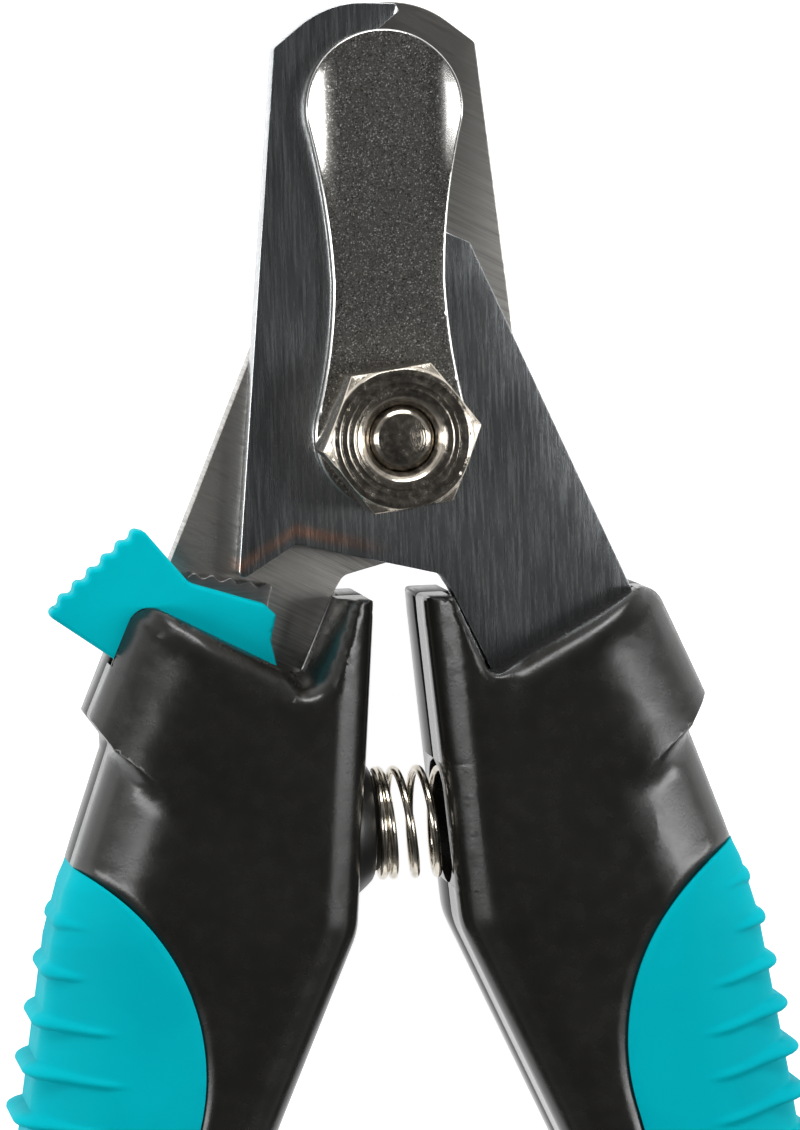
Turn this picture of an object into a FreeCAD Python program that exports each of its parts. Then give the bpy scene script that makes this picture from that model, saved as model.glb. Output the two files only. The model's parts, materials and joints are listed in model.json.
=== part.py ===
"""Scissor nail clipper for pets: two crossed blades on a pivot bolt, two hollow handles and a thumb lock.

All outlines are drawn about the pivot axis, with +Y towards the blade tips and z = 0 on the plane where the
two blades meet.  Every body is then placed at the pivot, so that the tool lies flat on z = 0.
"""
import FreeCAD, Part
import math
import os
import Sketcher

V = FreeCAD.Vector
doc = FreeCAD.newDocument("nail_clipper")

# ---------------------------------------------------------------------------------------------------------
# Driving dimensions, in millimetres and degrees
# ---------------------------------------------------------------------------------------------------------
SIZES = {
    "pivot_along": 47.10,           # pivot axis, measured along the tool from its middle
    "blade_plane": 7.0,             # height of the plane where the blades meet
    "blade_thickness": 2.5,
    "blade_gap": 0.04,              # air between the crossed blades
    "bevel": 1.1,                   # width of the ground cutting bevel
    "relief_depth": 1.36,           # underside relief at the front blade's latch corner
    "relief_radius": 13.5,
    "guard_thickness": 1.5,
    "guard_level": 2.6,
    "wing_bend": 20.0,              # tilt of the guard head's two sides
    "guard_reach": 31.0,            # bent stock, trimmed to the outline
    "guard_bend_start": 12.0,
    "bolt_radius": 3.0,             # M6
    "running_clearance": 0.05,
    "fixed_clearance": 0.02,
    "through": 30.0,                # longer than any cut needs to be
    "across_flats": 10.0,
    "nut_level": 4.15,
    "nut_height": 6.0,
    "nut_turn": 7.5,
    "insert_radius": 3.95,
    "insert_height": 1.5,
    "insert_drop": 0.35,            # insert's face below the nut's face
    "bolt_end_level": 9.75,
    "bolt_chamfer": 0.65,
    "head_height": 3.95,
    "front_depth": 7.0,             # front shells, from the parting plane
    "rear_depth": 7.0,              # rear shells, from the parting plane
    "back_allowance": 0.05,         # faced off the backs to leave them flat
    "outer_round": 4.5,             # long outer edge of the front
    "inner_round": 2.0,
    "rear_outer_round": 2.6,
    "rear_inner_round": 1.2,
    "tang_clearance": 0.05,
    "grip_front": 7.15,
    "grip_rear": 6.6,
    "rib_height": 0.85,
    "rib_front": 7.6,
    "rib_width": 1.3,
    "screw_radius": 1.25,
    "screw_head_radius": 2.4,
    "screw_head_height": 1.7,
    "screw_recess": 2.0,
    "screw_reach": 4.4,             # screw point above the parting plane
    "lever_gap": 0.15,              # lever's underside above the rear blade
    "lever_top": 2.9,
    "lever_cavity": 3.1,
    "pawl_top": 1.15,
    "pawl_slot": 1.2,
    "lock_pin_radius": 1.1,
    "lock_pin_length": 9.0,
    "spring_along": -28.5,          # spring axis, measured from the pivot
    "wire_radius": 0.3,
    "coil_radius": 3.85,
    "coil_pitch": 1.38,
    "coil_length": 6.21,
    "spring_start": -1.65,
}
sheet = doc.addObject("Spreadsheet::Sheet", "Dimensions")
for row, (alias, value) in enumerate(SIZES.items(), start=1):
    sheet.set(f"A{row}", alias)
    sheet.set(f"B{row}", str(value))
    sheet.setAlias(f"B{row}", alias)
doc.recompute()


def size(alias):
    return getattr(sheet, alias)


# ---------------------------------------------------------------------------------------------------------
# Outlines about the pivot.  A corner is (x, y) or (x, y, rounding radius); ("via", x, y) between two corners
# makes the run between them an arc through that point.
# ---------------------------------------------------------------------------------------------------------
TANG_HOLES = [(15.5, -23.0), (12.2, -28.5)]
END_SCREW = (28.4, -117.5)
LOCK_PIVOT = (-15.9, -14.2)

# the front blade: tip, concave cutting edge, heel, long back edge, tang, arch and latch corner
BLADE = [
    (-7.5, 28.0, 0.6), (-3.4, 31.25, 7.0), (1.45, 30.95, 0.3), (1.7, 30.4), (0.1, 29.1),
    ("via", 0.65, 21.2), (4.6, 14.4), (6.3, 13.6, 0.4), (18.6, -14.8, 3.0), (17.6, -31.0, 2.5),
    (9.6, -31.0, 2.5), (9.0, -22.0, 6.0), (4.1, -11.4), (3.4, -10.3, 0.9), (-7.1, -7.7, 1.0),
    (-11.35, -10.3, 0.4),
]
GUARD = [
    (4.2, 11.0), ("via", 4.55, 16.0), (5.75, 22.6), ("via", 0.15, 29.15), (-5.45, 22.6),
    ("via", -4.25, 16.0), (-3.9, 11.0), ("via", -4.25, 6.8), (-5.45, 1.2), ("via", 0.0, -5.58),
    (5.5, 1.2), ("via", 4.5, 6.8),
]
# one handle, as stations along the tool: y, inner x, outer x, and how far both faces draw in
STATIONS = [
    (-11.1, 1.72, 17.4, 0.0), (-12.0, 1.80, 18.9, 0.0), (-13.4, 1.90, 19.7, 0.0), (-19.6, 2.40, 22.5, 0.0),
    (-20.5, 2.47, 22.1, 0.0), (-21.7, 2.57, 21.0, 0.0), (-30.35, 3.30, 24.1, 0.0), (-35.8, 3.75, 25.7, 0.0),
    (-48.0, 9.16, 27.7, 0.0), (-61.0, 14.9, 29.6, 0.0), (-67.5, 17.2, 30.4, 0.0), (-76.0, 19.0, 31.4, 0.0),
    (-97.0, 21.9, 33.0, 0.0), (-118.0, 24.0, 33.0, 0.0), (-122.0, 24.8, 32.3, 0.5), (-124.3, 26.2, 31.2, 1.8),
    (-125.3, 27.7, 29.9, 3.2),
]
# the V-shaped mouth between the inner strip and the shoulder, where the blade goes in
MOUTH = [(3.55, -9.0), (3.55, -11.2), (6.35, -17.7, 0.9), (22.6, -9.0)]
# the soft grip's side of a handle, from the outer edge at the neck down to the lower end
GRIP_SIDE = [(24.1, -30.35), (12.7, -36.6, 16.5), (32.2, -112.4), (40.0, -112.4), (40.0, -21.7)]
SHELL_SIDE = [(24.1, -30.35), (12.7, -36.6, 16.5), (32.2, -112.4), (40.0, -112.4), (40.0, -130.0),
              (-5.0, -130.0), (-5.0, -5.0), (40.0, -5.0), (40.0, -21.7)]
TANG_POCKET = [
    (5.6, -16.0), (8.75, -22.2), (9.35, -31.2, 2.6), (17.85, -31.2, 2.6), (18.95, -15.2, 2.0),
    (16.55, -9.5), (5.6, -9.5),
]
LEVER_POCKET = [
    (-27.0, -11.2), (-21.2, -15.5), (-18.0, -18.7, 1.0), (-13.5, -20.2), (-10.3, -21.0, 2.0),
    (-7.6, -18.0, 1.5), (-7.0, -12.0), (-7.0, -8.0), (-27.0, -8.0),
]
# the grip ribs of each side: where the first one lies, their pitch and their slope in degrees
RIBS = {-1: (-34.2, 3.68, 10.0), 1: (-33.2, 3.36, 16.0)}
RIB_END = -94.0


def on_side(outline, side):
    """The outline for the right side, 1, or mirrored about the tool's middle plane for the left, -1."""
    if side > 0:
        return outline
    flipped = []
    for corner in outline:
        if corner[0] == "via":
            flipped.append(("via", -corner[1], corner[2]))
        else:
            flipped.append((-corner[0],) + tuple(corner[1:]))
    return flipped


def corner_ends(before, corner, after):
    """Tangent points and middle of the arc that rounds a corner."""
    point = V(corner[0], corner[1], 0)
    if len(corner) < 3 or before[0] == "via" or after[0] == "via":
        return point, None, point
    back = (V(before[0], before[1], 0) - point).normalize()
    ahead = (V(after[0], after[1], 0) - point).normalize()
    half = back.getAngle(ahead) / 2
    run = corner[2] / math.tan(half)
    middle = (back + ahead).normalize()
    depth = corner[2] / math.sin(half) - corner[2]
    return point + back * run, point + middle * depth, point + ahead * run


def arc_through(start, middle, stop):
    """The arc through three points, drawn counter-clockwise about +Z as a sketch keeps it."""
    curve = Part.Arc(start, middle, stop).toShape().Curve
    centre = V(curve.Center)
    clockwise = (middle - start).cross(stop - middle).z < 0
    ends = (stop, start) if clockwise else (start, stop)
    angles = [math.atan2(end.y - centre.y, end.x - centre.x) for end in ends]
    if angles[1] < angles[0]:
        angles[1] += 2 * math.pi
    return Part.ArcOfCircle(Part.Circle(centre, V(0, 0, 1), curve.Radius), *angles)


def outline_curves(outline):
    """Lines and arcs of a closed outline, in order."""
    count = len(outline)
    ends = {}
    for i, corner in enumerate(outline):
        if corner[0] != "via":
            ends[i] = corner_ends(outline[i - 1], corner, outline[(i + 1) % count])
    curves = []
    for i in ends:
        start, middle, stop = ends[i]
        if middle is not None:
            curves.append(arc_through(start, middle, stop))
        after = (i + 1) % count
        if outline[after][0] == "via":
            through = V(outline[after][1], outline[after][2], 0)
            curves.append(arc_through(stop, through, ends[(i + 2) % count][0]))
        elif stop.distanceToPoint(ends[after][0]) > 1e-6:
            curves.append(Part.LineSegment(stop, ends[after][0]))
    return curves


# ---------------------------------------------------------------------------------------------------------
# Document helpers
# ---------------------------------------------------------------------------------------------------------
def new_body(label):
    body = doc.addObject("PartDesign::Body", label)
    body.Label = label
    body.setExpression("Placement.Base.y", "Dimensions.pivot_along")
    body.setExpression("Placement.Base.z", "Dimensions.blade_plane")
    return body


def new_sketch(body, name, level="0", role="XY_Plane"):
    sketch = body.newObject("Sketcher::SketchObject", f"{body.Label}_{name}")
    plane = [feature for feature in body.Origin.OriginFeatures if feature.Role == role][0]
    sketch.AttachmentSupport = [(plane, "")]
    sketch.MapMode = "FlatFace"
    sketch.setExpression("AttachmentOffset.Base.z", level)
    return sketch


def joined_end(curve, point):
    """Sketcher's number for the end of a curve that lies at a point."""
    return 1 if curve.StartPoint.distanceToPoint(point) < 1e-5 else 2


def draw_outline(sketch, outline):
    curves = outline_curves(outline)
    first = sketch.GeometryCount
    sketch.addGeometry(curves, False)
    drawn = [sketch.Geometry[first + i] for i in range(len(curves))]
    joints = []
    for i, curve in enumerate(drawn):
        after = (i + 1) % len(drawn)
        meeting = curves[i].EndPoint
        for point in (curves[i].StartPoint, curves[i].EndPoint):
            near = min(point.distanceToPoint(end) for end in (drawn[after].StartPoint, drawn[after].EndPoint))
            if near < 1e-5:
                meeting = point
        here = joined_end(curve, meeting)
        there = joined_end(drawn[after], meeting)
        joints.append(Sketcher.Constraint("Coincident", first + i, here, first + after, there))
    sketch.addConstraint(joints)


def draw_circle(sketch, centre, radius):
    """A circle whose radius is bound to an expression."""
    index = sketch.addGeometry(Part.Circle(V(centre[0], centre[1], 0), V(0, 0, 1), 1.0), False)
    sketch.addConstraint(Sketcher.Constraint("DistanceX", -1, 1, index, 3, centre[0]))
    sketch.addConstraint(Sketcher.Constraint("DistanceY", -1, 1, index, 3, centre[1]))
    number = sketch.addConstraint(Sketcher.Constraint("Radius", index, 1.0))
    sketch.setExpression(f"Constraints[{number}]", radius)


def pad(body, sketch, length, name, downwards=False):
    feature = body.newObject("PartDesign::Pad", f"{body.Label}_{name}")
    feature.Profile = sketch
    feature.setExpression("Length", length)
    feature.Reversed = downwards
    doc.recompute()
    return feature


def pocket(body, sketch, length, name, upwards=False):
    """Cut a sketch out of the body and make sure that material has gone."""
    before = body.Shape.Volume
    feature = body.newObject("PartDesign::Pocket", f"{body.Label}_{name}")
    feature.Profile = sketch
    feature.setExpression("Length", length)
    feature.Reversed = upwards
    doc.recompute()
    if body.Shape.Volume > before - 1e-3:
        raise RuntimeError(f"{feature.Name} cuts nothing")
    return feature


def groove(body, sketch, name, axis="H_Axis"):
    before = body.Shape.Volume
    feature = body.newObject("PartDesign::Groove", f"{body.Label}_{name}")
    feature.Profile = sketch
    feature.ReferenceAxis = (sketch, [axis])
    feature.Angle = 360.0
    doc.recompute()
    if body.Shape.Volume > before - 1e-3:
        raise RuntimeError(f"{feature.Name} cuts nothing")
    return feature


def revolve(body, sketch, name, axis="H_Axis"):
    feature = body.newObject("PartDesign::Revolution", f"{body.Label}_{name}")
    feature.Profile = sketch
    feature.ReferenceAxis = (sketch, [axis])
    feature.Angle = 360.0
    doc.recompute()
    return feature


def edges_where(feature, wanted):
    """Names of the edges whose middle point, taken about the pivot, passes a test."""
    names = []
    for number, edge in enumerate(feature.Shape.Edges, start=1):
        middle = edge.valueAt((edge.FirstParameter + edge.LastParameter) / 2)
        ends = [vertex.Point for vertex in edge.Vertexes]
        if all(abs(end.z - middle.z) < 1e-4 for end in ends) and wanted(middle):
            names.append(f"Edge{number}")
    return names


def round_edges(body, feature, names, radius, name):
    fillet = body.newObject("PartDesign::Fillet", f"{body.Label}_{name}")
    fillet.Base = (feature, names)
    fillet.setExpression("Radius", radius)
    doc.recompute()
    return fillet


def chamfer_edges(body, feature, names, width, name):
    chamfer = body.newObject("PartDesign::Chamfer", f"{body.Label}_{name}")
    chamfer.Base = (feature, names)
    chamfer.setExpression("Size", width)
    doc.recompute()
    return chamfer


def cut_through(body, outlines, name):
    """Cut the space between outlines out of a body, from front to back."""
    sketch = new_sketch(body, name, "-Dimensions.through / 2")
    for outline in outlines:
        draw_outline(sketch, outline)
    return pocket(body, sketch, "Dimensions.through", name + "_cut", upwards=True)


def spring_recess(body, side):
    recess = new_sketch(body, "spring_recess")
    recess.setExpression("AttachmentOffset.Base.y", "Dimensions.spring_along")
    if side > 0:
        wide = size("coil_radius") + size("wire_radius") + 0.45
        draw_outline(recess, [(1.0, 0.0), (1.0, wide), (5.0, wide), (5.0, 0.0)])
    else:
        draw_outline(recess, [
            (-1.0, 0.0), (-1.0, 5.35), (-3.9, 5.35), (-3.9, 4.05), (-6.05, 4.05), (-6.05, 0.0),
        ])
    groove(body, recess, "spring_seat")


def hexagon(across_flats, turn):
    """Corners of a regular hexagon."""
    radius = across_flats / math.sqrt(3)
    angles = [math.radians(turn + 60 * i) for i in range(6)]
    return [(radius * math.cos(angle), radius * math.sin(angle)) for angle in angles]


# ---------------------------------------------------------------------------------------------------------
# Blades
# ---------------------------------------------------------------------------------------------------------
def on_cutting_edge(middle, side):
    """True on the concave arc of the notch, near its middle."""
    return abs(side * middle.x - 0.9) < 0.8 and abs(middle.y - 21.5) < 2.5


def make_blade(label, side, level, downwards):
    body = new_body(label)
    profile = new_sketch(body, "profile", level)
    draw_outline(profile, on_side(BLADE, side))
    draw_circle(profile, (0.0, 0.0), "Dimensions.bolt_radius + Dimensions.running_clearance")
    for x, y in TANG_HOLES:
        draw_circle(profile, (side * x, y), "Dimensions.screw_radius + 4 * Dimensions.running_clearance")
    plate = pad(body, profile, "Dimensions.blade_thickness", "plate", downwards)
    outer = size("blade_thickness") * (-1 if downwards else 1)
    names = edges_where(plate, lambda p: abs(p.z - outer) < 0.1 and on_cutting_edge(p, side))
    chamfer_edges(body, plate, names, "Dimensions.bevel", "bevel")
    return body


def front_blade():
    body = make_blade("front_blade", 1, "Dimensions.blade_gap", False)
    relief = new_sketch(body, "relief", "Dimensions.blade_gap")
    radius = size("relief_radius")
    angles = [math.radians(angle) for angle in (213.0, 222.0, 231.0)]
    start, middle, stop = [(radius * math.cos(a), radius * math.sin(a)) for a in angles]
    draw_outline(relief, [start, ("via",) + middle, stop, (-8.4, -13.0), (-14.0, -13.0), (-14.0, -7.4)])
    pocket(body, relief, "Dimensions.relief_depth", "latch_relief", upwards=True)


def rear_blade():
    body = make_blade("rear_blade", -1, "0", True)
    hole = new_sketch(body, "lock_hole")
    draw_circle(hole, LOCK_PIVOT, "Dimensions.lock_pin_radius + Dimensions.fixed_clearance")
    pocket(body, hole, "Dimensions.blade_thickness", "lock_bore")


# ---------------------------------------------------------------------------------------------------------
# Guard plate: a flat neck and a head whose two sides are bent up
# ---------------------------------------------------------------------------------------------------------
def guard_plate():
    body = new_body("guard_plate")
    section = new_sketch(body, "section", "-Dimensions.guard_reach", "XZ_Plane")
    low = size("guard_level")
    high = low + size("guard_thickness")
    flat_half = 4.05
    wing = 3.0
    rise = wing * math.tan(math.radians(size("wing_bend")))
    draw_outline(section, [
        (-flat_half, low, 2.0), (flat_half, low, 2.0), (flat_half + wing, low + rise),
        (flat_half + wing, high + rise), (flat_half, high, 3.0), (-flat_half, high, 3.0),
        (-flat_half - wing, high + rise), (-flat_half - wing, low + rise),
    ])
    pad(body, section, "Dimensions.guard_reach - Dimensions.guard_bend_start", "bent_head")
    lower = new_sketch(body, "lower", "Dimensions.guard_level")
    draw_outline(lower, [(-7.0, 13.0), (7.0, 13.0), (7.0, -7.0), (-7.0, -7.0)])
    pad(body, lower, "Dimensions.guard_thickness", "flat_neck")
    cut_through(body, [[(-12.0, 35.0), (12.0, 35.0), (12.0, -12.0), (-12.0, -12.0)], GUARD], "outline")
    bore = new_sketch(body, "bore", "Dimensions.guard_level")
    draw_circle(bore, (0.0, 0.0), "Dimensions.bolt_radius + Dimensions.running_clearance")
    pocket(body, bore, "Dimensions.guard_thickness", "bolt_bore", upwards=True)


# ---------------------------------------------------------------------------------------------------------
# Pivot bolt, nut and its locking insert
# ---------------------------------------------------------------------------------------------------------
def pivot_bolt():
    body = new_body("pivot_bolt")
    under_head = "-Dimensions.blade_thickness - Dimensions.running_clearance"
    head = new_sketch(body, "head", under_head)
    draw_outline(head, hexagon(size("across_flats"), 0.0))
    pad(body, head, "Dimensions.head_height", "hex_head", downwards=True)
    shank = new_sketch(body, "shank", under_head)
    draw_circle(shank, (0.0, 0.0), "Dimensions.bolt_radius")
    length = "Dimensions.bolt_end_level + Dimensions.blade_thickness + Dimensions.running_clearance"
    stem = pad(body, shank, length, "stem")
    tip = edges_where(stem, lambda p: abs(p.z - size("bolt_end_level")) < 0.1)
    chamfer_edges(body, stem, tip, "Dimensions.bolt_chamfer", "tip_chamfer")


def pivot_nut():
    body = new_body("pivot_nut")
    flats = new_sketch(body, "flats", "Dimensions.nut_level")
    draw_outline(flats, hexagon(size("across_flats"), size("nut_turn")))
    pad(body, flats, "Dimensions.nut_height", "hex")
    # turned top: everything outside a shallow cone and a rounded collar is cut away
    top = size("nut_level") + size("nut_height")
    corner = size("across_flats") / math.sqrt(3) + 0.5
    face = size("across_flats") / 2 - 0.12
    crown = new_sketch(body, "crown", "0", "XZ_Plane")
    draw_outline(crown, [
        (face, top + 0.2), (face, top - 0.55), (corner, top - 1.15), (corner, top + 0.2),
    ])
    groove(body, crown, "chamfer", "V_Axis")
    ring = new_sketch(body, "ring", "0", "XZ_Plane")
    draw_outline(ring, [
        (4.45, top + 0.2), (face + 0.3, top + 0.2), (face + 0.3, top - 0.5), (4.45, top - 0.5, 0.15),
    ])
    groove(body, ring, "step", "V_Axis")
    bore = new_sketch(body, "bore", "Dimensions.nut_level")
    draw_circle(bore, (0.0, 0.0), "Dimensions.bolt_radius + Dimensions.fixed_clearance")
    pocket(body, bore, "Dimensions.nut_height", "thread", upwards=True)
    seat = new_sketch(body, "seat", "Dimensions.nut_level + Dimensions.nut_height")
    draw_circle(seat, (0.0, 0.0), "Dimensions.insert_radius")
    pocket(body, seat, "Dimensions.insert_height + Dimensions.insert_drop", "insert_seat")


def nut_insert():
    body = new_body("nut_insert")
    face = "Dimensions.nut_level + Dimensions.nut_height - Dimensions.insert_drop"
    profile = new_sketch(body, "profile", face)
    draw_circle(profile, (0.0, 0.0), "Dimensions.insert_radius - Dimensions.fixed_clearance")
    draw_circle(profile, (0.0, 0.0), "Dimensions.bolt_radius + Dimensions.fixed_clearance")
    ring = pad(body, profile, "Dimensions.insert_height", "ring", downwards=True)
    level = size("nut_level") + size("nut_height") - size("insert_drop")
    rim = edges_where(ring, lambda p: abs(p.z - level) < 0.01)
    round_edges(body, ring, rim, "0.3", "rim")


# ---------------------------------------------------------------------------------------------------------
# Handles
# ---------------------------------------------------------------------------------------------------------
def screw_holes(body, side, alias_radius, depth, name, upwards):
    holes = new_sketch(body, name)
    for x, y in TANG_HOLES + [END_SCREW]:
        draw_circle(holes, (side * x, y), alias_radius)
    pocket(body, holes, depth, name + "_cut", upwards)


def loft_sections(body, name, side, front, rear, grow):
    """Rounded cross-sections of a handle; front and rear are depths from the parting plane, either may be 0."""
    sections = []
    for number, (y, inner, outer, draw_in) in enumerate(STATIONS, start=1):
        sketch = new_sketch(body, f"{name}_{number}", str(-y), "XZ_Plane")
        full_width = size("inner_round") + size("outer_round") + 1.5
        fit = min(1.0, (outer - inner) / full_width, 1.0 - draw_in / size("front_depth"))
        top = front - draw_in if front else 0.0
        low = draw_in - rear if rear else 0.0
        wide = outer + grow
        corners = [(inner, low), (inner, top), (wide, top), (wide, low)]
        if front:
            corners[1] += (size("inner_round") * fit,)
            corners[2] += (size("outer_round") * fit,)
        if rear:
            corners[0] += (size("rear_inner_round") * fit,)
            corners[3] += (size("rear_outer_round") * fit,)
        draw_outline(sketch, on_side(corners, side))
        sections.append(sketch)
    return sections


def handle_loft(body, name, side, front, rear, grow=0.0):
    """The handle's full form between two depths, as a ruled loft through its stations."""
    sections = loft_sections(body, name, side, front, rear, grow)
    loft = body.newObject("PartDesign::AdditiveLoft", f"{body.Label}_{name}")
    loft.Profile = sections[0]
    loft.Sections = sections[1:]
    loft.Ruled = True
    doc.recompute()
    return loft


def front_shell(label, side):
    body = new_body(label)
    handle_loft(body, "form", side, size("front_depth"), 0.0)
    cut_through(body, [on_side(GRIP_SIDE, side)], "grip_side")
    cut_through(body, [on_side(MOUTH, side)], "mouth")
    cavity = new_sketch(body, "cavity")
    if side > 0:
        draw_outline(cavity, TANG_POCKET)
        depth = "Dimensions.blade_gap + Dimensions.blade_thickness + Dimensions.tang_clearance"
    else:
        draw_outline(cavity, LEVER_POCKET)
        depth = "Dimensions.lever_cavity"
    pocket(body, cavity, depth, "cavity_cut", upwards=True)
    reach = "Dimensions.screw_reach + Dimensions.fixed_clearance"
    screw_holes(body, side, "Dimensions.screw_radius + Dimensions.fixed_clearance", reach, "pilot", True)
    if side < 0:
        socket = new_sketch(body, "pin_socket")
        draw_circle(socket, LOCK_PIVOT, "Dimensions.lock_pin_radius + Dimensions.fixed_clearance")
        half = "Dimensions.lock_pin_length / 2 + Dimensions.fixed_clearance"
        pocket(body, socket, half, "pin_socket_cut", upwards=True)
    spring_recess(body, side)


def rear_shell(label, side):
    body = new_body(label)
    handle_loft(body, "form", side, 0.0, size("rear_depth") + size("back_allowance"))
    back = new_sketch(body, "back", "-Dimensions.rear_depth")
    draw_outline(back, [(-45.0, 0.0), (45.0, 0.0), (45.0, -140.0), (-45.0, -140.0)])
    pocket(body, back, "Dimensions.through", "flat_back")
    cut_through(body, [on_side(GRIP_SIDE, side)], "grip_side")
    cut_through(body, [on_side(MOUTH, side)], "mouth")
    if side < 0:
        cavity = new_sketch(body, "cavity")
        draw_outline(cavity, on_side(TANG_POCKET, side))
        depth = "Dimensions.blade_thickness + Dimensions.tang_clearance"
        pocket(body, cavity, depth, "cavity_cut")
        socket = new_sketch(body, "pin_socket")
        draw_circle(socket, LOCK_PIVOT, "Dimensions.lock_pin_radius + Dimensions.fixed_clearance")
        half = "Dimensions.lock_pin_length / 2 + Dimensions.fixed_clearance"
        pocket(body, socket, half, "pin_socket_cut")
    clearance = "Dimensions.screw_radius + 2 * Dimensions.running_clearance"
    screw_holes(body, side, clearance, "Dimensions.rear_depth", "clearance_hole", False)
    recess = new_sketch(body, "recess", "-Dimensions.rear_depth")
    for x, y in TANG_HOLES + [END_SCREW]:
        draw_circle(recess, (side * x, y), "Dimensions.screw_head_radius + 4 * Dimensions.running_clearance")
    pocket(body, recess, "Dimensions.screw_recess", "head_recess", upwards=True)
    spring_recess(body, side)


def screws(label, side):
    """Three pan-head screws that go in from the back."""
    body = new_body(label)
    under_head = "Dimensions.screw_recess - Dimensions.rear_depth"
    for number, (x, y) in enumerate(TANG_HOLES + [END_SCREW], start=1):
        head = new_sketch(body, f"head_{number}", under_head)
        draw_circle(head, (side * x, y), "Dimensions.screw_head_radius")
        pad(body, head, "Dimensions.screw_head_height", f"pan_{number}", downwards=True)
        shank = new_sketch(body, f"shank_{number}", under_head)
        draw_circle(shank, (side * x, y), "Dimensions.screw_radius")
        length = "Dimensions.screw_reach + Dimensions.rear_depth - Dimensions.screw_recess"
        pad(body, shank, length, f"stem_{number}")


def rib_outline(side, number):
    """A slim bar with a round inner end, from outside the grip sloping down towards its middle."""
    first, pitch, slope_angle = RIBS[side]
    y = first - pitch * number
    half = size("rib_width") / 2
    outer = 36.0
    inner = 20.6 + 0.06 * (first - y) + (4.2, 2.4, 0.8, 0.0)[min(number, 3)]
    slope = math.tan(math.radians(slope_angle))
    fall = slope * (outer - inner)
    end = y - slope * (25.0 - inner)
    return [
        (outer, end + fall + half), (inner, end + half), ("via", inner - half, end), (inner, end - half),
        (outer, end + fall - half),
    ]


def grip(label, side):
    body = new_body(label)
    handle_loft(body, "ribs", side, size("rib_front"), size("rear_depth"), size("rib_height"))
    gaps = [[(-6.0, 0.0), (45.0, 0.0), (45.0, -140.0), (-6.0, -140.0)]]
    first, pitch = RIBS[side][:2]
    gaps += [rib_outline(side, number) for number in range(int((first - RIB_END) / pitch))]
    cut_through(body, [on_side(outline, side) for outline in gaps], "rib_gaps")
    handle_loft(body, "form", side, size("grip_front"), size("grip_rear"))
    cut_through(body, [on_side(SHELL_SIDE, side)], "shell_side")


# ---------------------------------------------------------------------------------------------------------
# Thumb lock
# ---------------------------------------------------------------------------------------------------------
def toothed_run(start, stop, count, depth):
    """Corners of a run of rounded teeth between two points, valleys to the right of the way."""
    way = V(stop[0] - start[0], stop[1] - start[1], 0)
    right = V(way.y, -way.x, 0).normalize() * depth
    corners = []
    for i in range(count):
        crest = V(start[0], start[1], 0) + way * (i / (count - 1))
        corners.append((crest.x, crest.y, depth * 0.45))
        if i < count - 1:
            valley = crest + way * (0.5 / (count - 1)) + right
            corners.append((valley.x, valley.y, depth * 0.45))
    return corners


def lock_lever():
    body = new_body("lock_lever")
    outline = toothed_run((-25.3, -11.6), (-18.9, -6.1), 7, 0.6) + [
        (-18.0, -6.35, 0.4), (-14.9, -10.2, 1.6), (-9.5, -11.95, 0.4), (-8.7, -12.75, 0.3), (-9.15, -14.6, 0.6),
        (-8.7, -16.9, 0.5), (-9.5, -17.7, 0.5), (-16.0, -18.2, 3.0), (-20.6, -15.4, 2.0), (-24.9, -12.3, 0.4),
    ]
    profile = new_sketch(body, "profile", "Dimensions.lever_gap")
    draw_outline(profile, outline)
    draw_circle(profile, LOCK_PIVOT, "Dimensions.lock_pin_radius + Dimensions.running_clearance")
    plate = pad(body, profile, "Dimensions.lever_top - Dimensions.lever_gap", "plate")
    names = edges_where(plate, lambda p: abs(p.z - size("lever_top")) < 0.01
                        and V(p.x, p.y, 0).distanceToPoint(V(*LOCK_PIVOT, 0)) > 2.0)
    round_edges(body, plate, names, "0.25", "front_edge")
    slot = new_sketch(body, "slot", "Dimensions.lever_gap")
    draw_outline(slot, [(-15.2, -9.0), (-15.2, -11.9), (-13.9, -13.6, 0.5), (-8.0, -14.05), (-8.0, -9.0)])
    pocket(body, slot, "Dimensions.pawl_slot - Dimensions.lever_gap", "pawl_slot_cut", upwards=True)


def lock_pawl():
    body = new_body("lock_pawl")
    outline = toothed_run((-14.35, -9.45), (-9.1, -10.5), 5, 0.5) + [
        (-8.75, -10.8, 0.2), (-9.0, -11.8, 0.4), (-9.45, -13.9, 0.4), (-13.8, -13.5, 0.4),
        (-15.1, -11.8, 0.3), (-14.95, -9.95, 0.3),
    ]
    profile = new_sketch(body, "profile", "Dimensions.lever_gap")
    draw_outline(profile, outline)
    pad(body, profile, "Dimensions.pawl_top - Dimensions.lever_gap", "plate")


def lock_pin():
    body = new_body("lock_pin")
    profile = new_sketch(body, "profile", "-Dimensions.lock_pin_length / 2")
    draw_circle(profile, LOCK_PIVOT, "Dimensions.lock_pin_radius")
    stem = pad(body, profile, "Dimensions.lock_pin_length", "stem")
    ends = edges_where(stem, lambda p: True)
    chamfer_edges(body, stem, ends, "0.3", "ends")


# ---------------------------------------------------------------------------------------------------------
# Return spring and its cup
# ---------------------------------------------------------------------------------------------------------
def spring_cup():
    body = new_body("spring_cup")
    profile = new_sketch(body, "profile")
    profile.setExpression("AttachmentOffset.Base.y", "Dimensions.spring_along")
    draw_outline(profile, [
        (-6.0, 0.0), (-6.0, 4.0), (-3.88, 4.0), (-3.88, 5.3), (-2.4, 5.3), (-0.35, 4.95, 0.3),
        (-0.35, 4.55), (-2.0, 4.4), (-2.0, 0.0),
    ])
    revolve(body, profile, "cup")


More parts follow.
